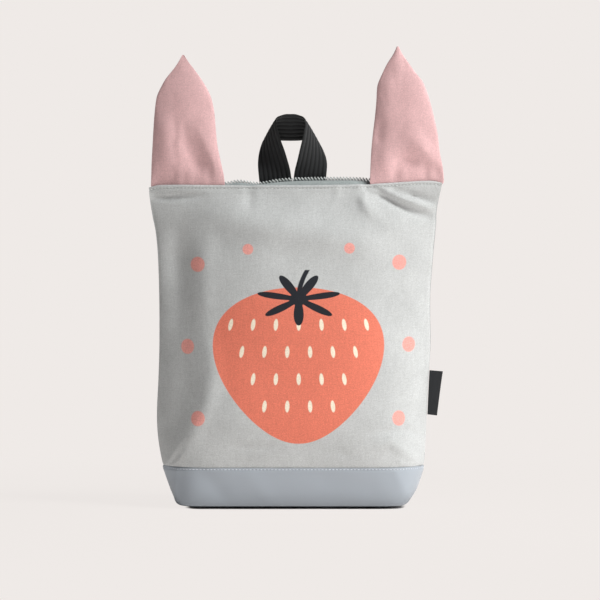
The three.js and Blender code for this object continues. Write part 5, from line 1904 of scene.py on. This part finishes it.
@dataclass
class CarryingLoop:
    """The webbing loop behind the zip, which turns its inside to the front."""

    width: float = 30.0
    webbing: float = 1.6
    rise: float = 67.0
    offset: float = -2.8
    tab: float = 5.5
    steps: int = 92
    lean: float = -2.0
    rows: Table = Table(
        "place nearAcross nearUp rearAcross rearUp crown",
        (
            (0.0, 0.012, 0, 1.012, 0, 0),
            (0.1, 0.07, 0.21, 1.06, 0.2, 0),
            (0.2, 0.15, 0.35, 1.075, 0.31, 0),
            (0.3, 0.235, 0.49, 1.05, 0.41, 0.01),
            (0.4, 0.33, 0.63, 1, 0.49, 0.02),
            (0.5, 0.405, 0.76, 0.93, 0.56, 0.03),
            (0.6, 0.45, 0.875, 0.845, 0.62, 0.03),
            (0.7, 0.4, 0.955, 0.7, 0.65, 0.03),
            (0.8, 0.27, 0.985, 0.48, 0.65, 0.02),
            (0.9, 0.13, 1, 0.24, 0.642, 0.01),
            (1.0, 0, 1, 0, 0.64, 0),
        ),
    )

    @property
    def depth(self) -> float:
        """Depth of the middle of the loop's feet."""
        sides = [float(PATTERN.lining(Face.BACK, self.offset + side * self.width)) for side in (-1.1, 1.1)]
        return min(sides) - PATTERN.gap - self.webbing / 2

    def dress(self, recipe: RibRecipe) -> bpy.types.Object:
        """Builds the loop and sets it on the bag."""
        shares = np.concatenate([np.linspace(0, 1, self.steps + 1), np.linspace(1, 0, self.steps + 1)[1:]])
        signs = np.concatenate([np.full(self.steps + 1, -1.0), np.full(self.steps, 1.0)])
        signs[self.steps] = 0.0
        get = {key: self.rows.at(key, shares) for key in ("nearAcross", "nearUp", "rearAcross", "rearUp", "crown")}
        zero = np.zeros_like(shares)
        near = np.column_stack([signs * get["nearAcross"] * self.width, zero, get["nearUp"] * self.rise])
        rear = np.column_stack([signs * get["rearAcross"] * self.width, zero, get["rearUp"] * self.rise])
        turn = np.sqrt(np.maximum(0, self.width**2 - ((near - rear) ** 2).sum(axis=1)))
        near[:, 1], rear[:, 1] = -turn / 2, turn / 2
        bow = np.column_stack([signs, zero, np.ones_like(signs)]) * (get["crown"] * self.width)[:, None]
        move = np.array([self.offset, self.depth, float(PATTERN.top_edge(self.offset))])
        top_lean = np.column_stack([self.lean * ramp(0.3, 1, get["nearUp"]), zero, zero])
        near, rear = near + move + top_lean, rear + move + top_lean
        down = np.array([0, 0, -self.tab])
        ends = [(near[0] + down, rear[0] + down), (near[-1] + down, rear[-1] + down)]
        near = np.vstack([ends[0][0], near, ends[1][0]])
        rear = np.vstack([ends[0][1], rear, ends[1][1]])
        bow = np.vstack([[0, 0, 0], bow, [0, 0, 0]])
        return Band("carrying_loop_ribbed", ("carrying_loop",)).dress(rear, near, bow, recipe)


@dataclass
class LadderLock:
    """Heights inside a ladder lock, from its middle upwards along the strap, and its moulded frame."""

    width: float = 38.4
    thickness: float = 3.4
    bar: float = 4.0
    slot: float = 9.0
    lower_slot: float = 6.5
    middle_top: float = 1.5

    @property
    def upper_low(self) -> float:
        """Underside of the top bar."""
        return self.middle_top + self.slot

    @property
    def middle_low(self) -> float:
        """Underside of the middle bar."""
        return self.middle_top - self.bar

    @property
    def lower_top(self) -> float:
        """Top of the bottom bar."""
        return self.middle_low - self.lower_slot

    @property
    def top(self) -> float:
        """Top of the lock."""
        return self.upper_low + self.bar

    @property
    def bottom(self) -> float:
        """Bottom of the lock."""
        return self.lower_top - self.bar

    def dress(self, name: str, node: str, place: np.ndarray) -> bpy.types.Object:
        """Builds the lock.

        Args:
            name: The piece's name.
            node: The node that it stands for.
            place: From the lock's own axes to the row's frame.

        Returns:
            The lock.
        """
        half = self.width / 2
        outline = rounded([(-half, self.bottom), (half, self.bottom), (half, self.top), (-half, self.top)], 4.0, 6)
        slot_half = 15 + 2 * PATTERN.gap
        holes = [
            rounded([(-slot_half, low), (-slot_half, high), (slot_half, high), (slot_half, low)], 1.0)
            for low, high in ((self.middle_top, self.upper_low), (self.lower_top, self.middle_low))
        ]
        upright = Matrix.Rotation(math.pi / 2, 4, "X")
        piece = moulded(name, outline, holes, self.thickness, 0.9, LOCK_PLASTIC, Matrix(place.tolist()) @ upright)
        return settle(piece, LOCK_PLASTIC, node)


STRAP_ROUTE = np.array(
    (
        (0.22, 0.953, 0),
        (0.235, 0.925, 0),
        (0.25, 0.895, 0),
        (0.278, 0.84, 0.1),
        (0.33, 0.74, 0.34),
        (0.39, 0.63, 0.58),
        (0.44, 0.53, 0.78),
        (0.49, 0.43, 0.92),
        (0.53, 0.355, 0.985),
        (0.56, 0.28, 1),
        (0.6, 0.18, 0.93),
        (0.63, 0.095, 0.75),
        (0.65, 0.037, 0.52),
        (0.662, 0.014, 0.3),
        (0.668, 0.03, 0.1),
        (0.67, 0.06, 0),
        (0.672, 0.085, 0),
        (0.674, 0.11, 0),
    )
)


FOLD_ROWS = (
    ((-0.55, 0, 0.32), (-1, 0, 0.09)),
    ((1, 0, 0.045), (0.9, 0, 0.18), (0, 1.02, 0.455), (0, 1.05, 1)),
)
TAIL_ROWS = (
    ((1.4, 1), (1.6, 0.75), (1.7, 0.5), (1.5, 0.25), (1.1, 0.065), (1, 0)),
    ((-1, 0), (-0.6, 0.097)),
)


@dataclass
class ShoulderStrap:
    """One shoulder strap: its upper and lower webbing and the ladder lock between them."""

    side: Side
    width: float = 30.0
    webbing: float = 1.6
    bow: float = 58.0
    tail: float = 62.0
    turned: float = 22.0
    release: float = 13.0
    lock_at: float = 0.355
    step: float = 7.0
    lock: LadderLock = field(default_factory=LadderLock)
    stitches: list[np.ndarray] = field(default_factory=list, repr=False)

    def stations(self) -> tuple[np.ndarray, np.ndarray]:
        """The route's points and the directions of the webbing's width."""
        points, wides = [], []
        for across, height, out in STRAP_ROUTE:
            x = self.side.value * across * PATTERN.top_width / 2
            ahead, here, behind = (float(PATTERN.depth_at(Face.BACK, x + d, height, 0.0)) for d in (1, 0, -1))
            slope = (ahead - behind) / 2
            hug = 1 - min(1.0, out * 8)
            y = here + PATTERN.gap + self.webbing / 2 + out * self.bow + hug * (PATTERN.gap + abs(slope) * 1.5)
            points.append((x, y, max(height * PATTERN.height, self.webbing)))
            wides.append((1, slope * hug, 0))
        points, wides = np.array(points), np.array(wides, float)
        count = round(length_of(points) / self.step)
        shares = shares_by_length(points, count)
        place = shares * (len(points) - 1)
        k = np.minimum(place.astype(int), len(points) - 2)
        t = (place - k)[:, None]
        return curve_through(points, shares), wides[k] * (1 - t) + wides[k + 1] * t

    def lock_frame(self, points: np.ndarray, wides: np.ndarray) -> tuple[np.ndarray, int]:
        """The lock's axes and place, and the station that it is at."""
        k = int(np.argmax(points[:, 2] <= self.lock_at * PATTERN.height))
        up = unit(points[k - 1] - points[k + 1])
        wide = unit(wides[k] - up * wides[k].dot(up))
        out = unit(np.cross(up, wide))
        place = np.eye(4)
        place[:3, 0], place[:3, 1], place[:3, 2], place[:3, 3] = wide, out, up, points[k]
        return place, k

    def round_bar(self, z: float, turn: int) -> list[tuple[float, float]]:
        """Half circle round a bar from behind to the front, over its top (1) or under its bottom (-1)."""
        radius = self.lock.thickness / 2 + PATTERN.gap + self.webbing / 2
        angles = np.linspace(0, math.pi, 7)
        return [(-radius * math.cos(a), z + turn * radius * math.sin(a)) for a in angles]

    def band(self, name: str, node: str, points: np.ndarray, wides: np.ndarray, recipe: RibRecipe) -> np.ndarray:
        """Builds webbing along stations.

        Args:
            name: The piece's name.
            node: The node that it stands for.
            points: The stations.
            wides: The direction of its width at each.
            recipe: The ribs' recipe.

        Returns:
            The smooth line of its middle.
        """
        count = round(length_of(points, 600) / 1.3)
        shares = shares_by_length(points, count, 1200)
        line = curve_through(points, shares)
        place = shares * (len(points) - 1)
        k = np.minimum(place.astype(int), len(points) - 2)
        t = (place - k)[:, None]
        wide = wides[k] * (1 - t) + wides[k + 1] * t
        tangent = unit(np.gradient(line, axis=0))
        wide = unit(wide - tangent * (wide * tangent).sum(axis=1, keepdims=True)) * self.width / 2
        Band(name, (node,)).dress(line - wide, line + wide, None, recipe)
        return line

    def dress(self, recipe: RibRecipe) -> None:
        """Builds the strap, its lock and the paths of its stitches."""
        word = self.side.name.lower()
        points, wides = self.stations()
        place, k = self.lock_frame(points, wides)
        wide = place[:3, 0]
        behind = self.lock.thickness / 2 + PATTERN.gap + self.webbing / 2
        ply = self.webbing + PATTERN.gap
        top, bottom = self.lock.top, self.lock.bottom
        fold = [[(stand * behind + lap * ply, top + up * self.turned) for stand, lap, up in rows] for rows in FOLD_ROWS]
        loose = [[(stand * behind, bottom - down * self.tail) for stand, down in rows] for rows in TAIL_ROWS]
        turned = [*fold[0], *self.round_bar(self.lock.upper_low, -1), *fold[1]]
        loose = [*loose[0], *self.round_bar(self.lock.middle_top, 1)[::-1], *loose[1]]

        def placed(route: list[tuple[float, float]]) -> np.ndarray:
            """Points of a turn in the lock, in the row's frame."""
            return np.array([place[:3, :3] @ np.array([0, y, z]) + place[:3, 3] for y, z in route])

        away = np.linalg.norm(points - points[k], axis=1)
        order = np.arange(len(points))
        above = (order < k) & (away > top + self.release)
        below = (order > k) & (away > self.release - bottom)
        upper = np.vstack([points[above], placed(turned)])
        upper_wide = np.vstack([wides[above], [wide] * len(turned)])
        lower = np.vstack([placed(loose), points[below]])
        lower_wide = np.vstack([[wide] * len(loose), wides[below]])
        upper_line = self.band(f"strap_{word}_upper_ribbed", f"strap_{word}_upper", upper, upper_wide, recipe)
        lower_line = self.band(f"strap_{word}_lower_ribbed", f"strap_{word}_lower", lower, lower_wide, recipe)
        self.lock.dress(f"ladder_lock_{word}_moulded", f"ladder_lock_{word}", place)
        self.sew(upper_line, upper_wide[0], 3.0, 21.0)
        self.sew(upper_line[::-1], wide, 3.0, 15.0)
        self.sew(lower_line[::-1], lower_wide[-1], 3.0, 16.0)

    def sew(self, line: np.ndarray, wide: np.ndarray, start: float, stop: float) -> None:
        """Notes a sewn box with a cross near the end of a band.

        Args:
            line: The band's middle, from the sewn end.
            wide: Direction of the band's width.
            start: The box's near side, from the end.
            stop: The box's far side, from the end.
        """
        run = np.concatenate([[0], np.cumsum(np.linalg.norm(np.diff(line, axis=0), axis=1))])
        wide = unit(wide)
        tangent = unit(np.gradient(line, axis=0))
        out = unit(np.cross(tangent, wide))
        out *= np.sign(out[:, 1:2]) * (self.webbing / 2 + 0.12)
        outside = line + out
        half = self.width / 2 - 3

        def spot(along: float, across: float) -> np.ndarray:
            """A point on the band's outside."""
            middle = np.array([np.interp(along, run, outside[:, i]) for i in range(3)])
            return middle + wide * across

        corners = [(start, -half), (start, half), (stop, half), (stop, -half), (start, -half)]
        for a, b in [*zip(corners, corners[1:]), (corners[0], corners[2]), (corners[1], corners[3])]:
            shares = np.linspace(0, 1, 9)
            self.stitches.append(np.array([spot(a[0] + t * (b[0] - a[0]), a[1] + t * (b[1] - a[1])) for t in shares]))


# Label


@dataclass
class SideLabel:
    """A folded woven tab that stands out of the right side seam."""

    height: float = 41.0
    reach: float = 12.0
    lower_reach: float = 8.6
    top: float = 127.0
    ply: float = 0.45
    spread: float = 0.4
    rows: int = 26
    columns: int = 12

    def dress(self) -> bpy.types.Object:
        """Builds the label and sets it on the bag."""
        grid, cloth = [], []
        for i, share in enumerate(np.linspace(0, 1, self.rows + 1)):
            z = self.top - self.height * (1 - share)
            seam = PATTERN.top_width / 2 * float(PATTERN.sections.at("right", z / PATTERN.height)) + PATTERN.gap
            reach = self.lower_reach + (self.reach - self.lower_reach) * share
            bend = 0.35 * math.sin(share * math.pi)
            outs = np.concatenate([np.linspace(0, 1, self.columns + 1), [1.02, 1.0], np.linspace(1, 0, self.columns + 1)[1:]])
            gap = np.concatenate([np.full(self.columns + 1, -1.0), [0.0, 1.0], np.full(self.columns, 1.0)]) * self.spread
            y = gap * (0.85 + 0.3 * np.sin(np.clip(outs, 0, 1) * math.pi)) * 0.75 + bend * np.clip(outs, 0, 1) ** 2 * 0.3
            x = seam + outs * (reach - self.ply / 2)
            level = z - np.clip(outs, 0, 1) * 1.0
            grid.append(np.column_stack([x, y, level]))
            cloth.append(np.column_stack([np.linspace(0, 2 * reach, len(x)), np.full(len(x), z)]))
        piece = about(np.array(grid), self.ply, np.array(cloth), end=0.6).piece("side_label_woven", RIBBON)
        return settle(piece, RIBBON, "side_label")


# Studio


@dataclass
class Studio:
    """Camera, floor, background and lights."""

    frame_width: float = 555.6
    centre: tuple[float, float, float] = (4.2, -20.0, 193.0)
    distance: float = 3000.0
    elevation: float = 1.2
    paper: tuple = shade(239, 234, 231)
    sensor: float = 36.0
    shade_width: float = 0.113
    shade_depth: float = 0.047
    bounce: float = 2.3

    def camera(self) -> None:
        """Sets the camera at the photograph's viewing angle."""
        data = bpy.data.cameras.new("camera")
        data.sensor_width = self.sensor
        data.lens = self.sensor * self.distance / self.frame_width
        data.clip_start, data.clip_end = 0.05, 60
        holder = bpy.data.objects.new("camera", data)
        tilt = math.radians(self.elevation)
        aim = Vector(self.centre) * MM
        back = Vector((0, -math.cos(tilt), math.sin(tilt)))
        holder.location = aim + back * self.distance * MM
        holder.rotation_euler = (math.pi / 2 - tilt, 0, 0)
        bpy.context.scene.collection.objects.link(holder)
        bpy.context.scene.camera = holder

    def floor(self) -> None:
        """Lays the pale floor, which fades into the background away from the bag."""
        mesh = bpy.data.meshes.new("floor")
        reach = 30.0
        mesh.from_pydata([(-reach, -reach, 0), (reach, -reach, 0), (reach, reach, 0), (-reach, reach, 0)], [], [(0, 1, 2, 3)])
        made = bpy.data.objects.new("floor", mesh)
        bpy.context.scene.collection.objects.link(made)
        material = bpy.data.materials.new("floor paper")
        material.use_nodes = True
        material.node_tree.nodes.clear()
        graph = Graph(material.node_tree)
        x, y, _ = graph.parts(graph.field("ShaderNodeTexCoord", out="Object"))
        far = (x * x + y * y).root().ramp(0.2, 0.75)
        away = ((x / self.shade_width) ** 4.0 + (y / self.shade_depth) ** 4.0).root().root()
        matt = graph.node("ShaderNodeBsdfDiffuse", inputs={"Color": self.paper})
        mixed = []
        window = x.ramp(-0.4, 0.4) * 0.8 + 0.2
        near = (1 - far * 0.45) * away.ramp(1.0, 1.5)
        for strength, share in ((self.bounce, near * window), (1.0, away.ramp(0.86, 0.92) * (far * 0.05 + 0.95))):
            glow = graph.node("ShaderNodeEmission", inputs={"Color": self.paper, "Strength": strength})
            mixed.append(graph.node("ShaderNodeMixShader", inputs={0: share, 1: matt.outputs[0], 2: glow.outputs[0]}))
        seen = graph.field("ShaderNodeLightPath", out="Is Camera Ray")
        both = graph.node("ShaderNodeMixShader", inputs={0: seen, 1: mixed[0].outputs[0], 2: mixed[1].outputs[0]})
        graph.node("ShaderNodeOutputMaterial", inputs={"Surface": both.outputs[0]})
        mesh.materials.append(material)

    def background(self) -> None:
        """Sets the plain background, as bright to the camera as the paper."""
        world = bpy.data.worlds.new("studio")
        world.use_nodes = True
        world.node_tree.nodes.clear()
        graph = Graph(world.node_tree)
        seen = graph.field("ShaderNodeLightPath", out="Is Camera Ray")
        light = graph.node("ShaderNodeBackground", inputs={"Color": (0.95, 0.97, 1.0, 1.0), "Strength": 0.1})
        paper = graph.node("ShaderNodeBackground", inputs={"Color": self.paper, "Strength": 1.0})
        both = graph.node("ShaderNodeMixShader", inputs={0: seen, 1: light.outputs[0], 2: paper.outputs[0]})
        graph.node("ShaderNodeOutputWorld", inputs={"Surface": both.outputs[0]})
        bpy.context.scene.world = world
        bpy.context.scene.view_settings.view_transform = "Standard"

    def light(self, name: str, place: tuple[float, float, float], size: float, power: float, tint: tuple) -> None:
        """Hangs one soft light that faces the bag.

        Args:
            name: The light's name.
            place: Where it hangs, in metres.
            size: Side of its square, in metres.
            power: Its power in watts.
            tint: Its colour.
        """
        data = bpy.data.lights.new(name, "AREA")
        data.size, data.energy, data.color = size, power, tint
        made = bpy.data.objects.new(name, data)
        made.location = place
        aim = Vector((0, 0, 0.19)) - Vector(place)
        made.rotation_euler = aim.to_track_quat("-Z", "Y").to_euler()
        bpy.context.scene.collection.objects.link(made)

    def build(self) -> None:
        """Sets everything up."""
        self.camera()
        self.floor()
        self.background()
        self.light("key", (1.4, -0.85, 2.05), 0.8, 68, (1.0, 0.995, 0.98))
        self.light("rim", (1.6, 0.3, 0.5), 0.7, 5, (1.0, 1.0, 1.0))


# Assembly


def main() -> None:
    """Builds the backpack and the studio round it."""
    logging.basicConfig(level=logging.INFO, format="%(name)s: %(message)s")
    Studio().build()
    LOG.info("studio")
    stitches, teeth, ribs = StitchRecipe(), ToothRecipe(), RibRecipe()

    front = CanvasPanel("canvas_front", "front_panel", Face.FRONT, CANVAS_FRONT, FRONT_FOLDS)
    back = CanvasPanel("canvas_back", "back_panel", Face.BACK, CANVAS_BACK)
    for panel in (front, back):
        panel.dress()
        LOG.info("%s", panel.name)
    base = Base()
    base.dress()
    LOG.info("%s", base.name)

    ears = (
        Ear("ear_left_cotton", "ear_left", Side.LEFT, 120.5, 2.0, LEFT_EAR_OUTLINE, LEFT_EAR_FOLDS, 21.3),
        Ear("ear_right_cotton", "ear_right", Side.RIGHT, 126.0, -1.6, RIGHT_EAR_OUTLINE, RIGHT_EAR_FOLDS, 33.7),
    )
    for ear in ears:
        ear.dress()
        LOG.info("%s", ear.name)

    loop = CarryingLoop()
    loop.dress(ribs)
    LOG.info("carrying loop")
    zipper = Zip()
    zipper.tapes(ears, loop)
    zipper.teeth(teeth)
    zipper.slider()
    zipper.pull()
    LOG.info("zip")
    straps = [ShoulderStrap(side) for side in Side]
    for strap in straps:
        strap.dress(ribs)
        LOG.info("%s shoulder strap", strap.side.name.lower())
    SideLabel().dress()
    LOG.info("side label")

    sizes = {"Pitch": 3.3 * MM, "Stitch Length": 2.6 * MM, "Thread Radius": 0.32 * MM}
    rows = (
        ("hem_stitches", PALE_THREAD, [front.hem_line(), back.hem_line()]),
        ("base_stitches", BLUISH_THREAD, [base.seam_line()]),
        ("strap_stitches", BLACK_THREAD, [line for strap in straps for line in strap.stitches]),
    )
    for name, thread, lines in rows:
        settle(stitches.apply(path_object(lines), name, thread, sizes), thread)
        LOG.info("%s", name)


if __name__ == "__main__":
    main()
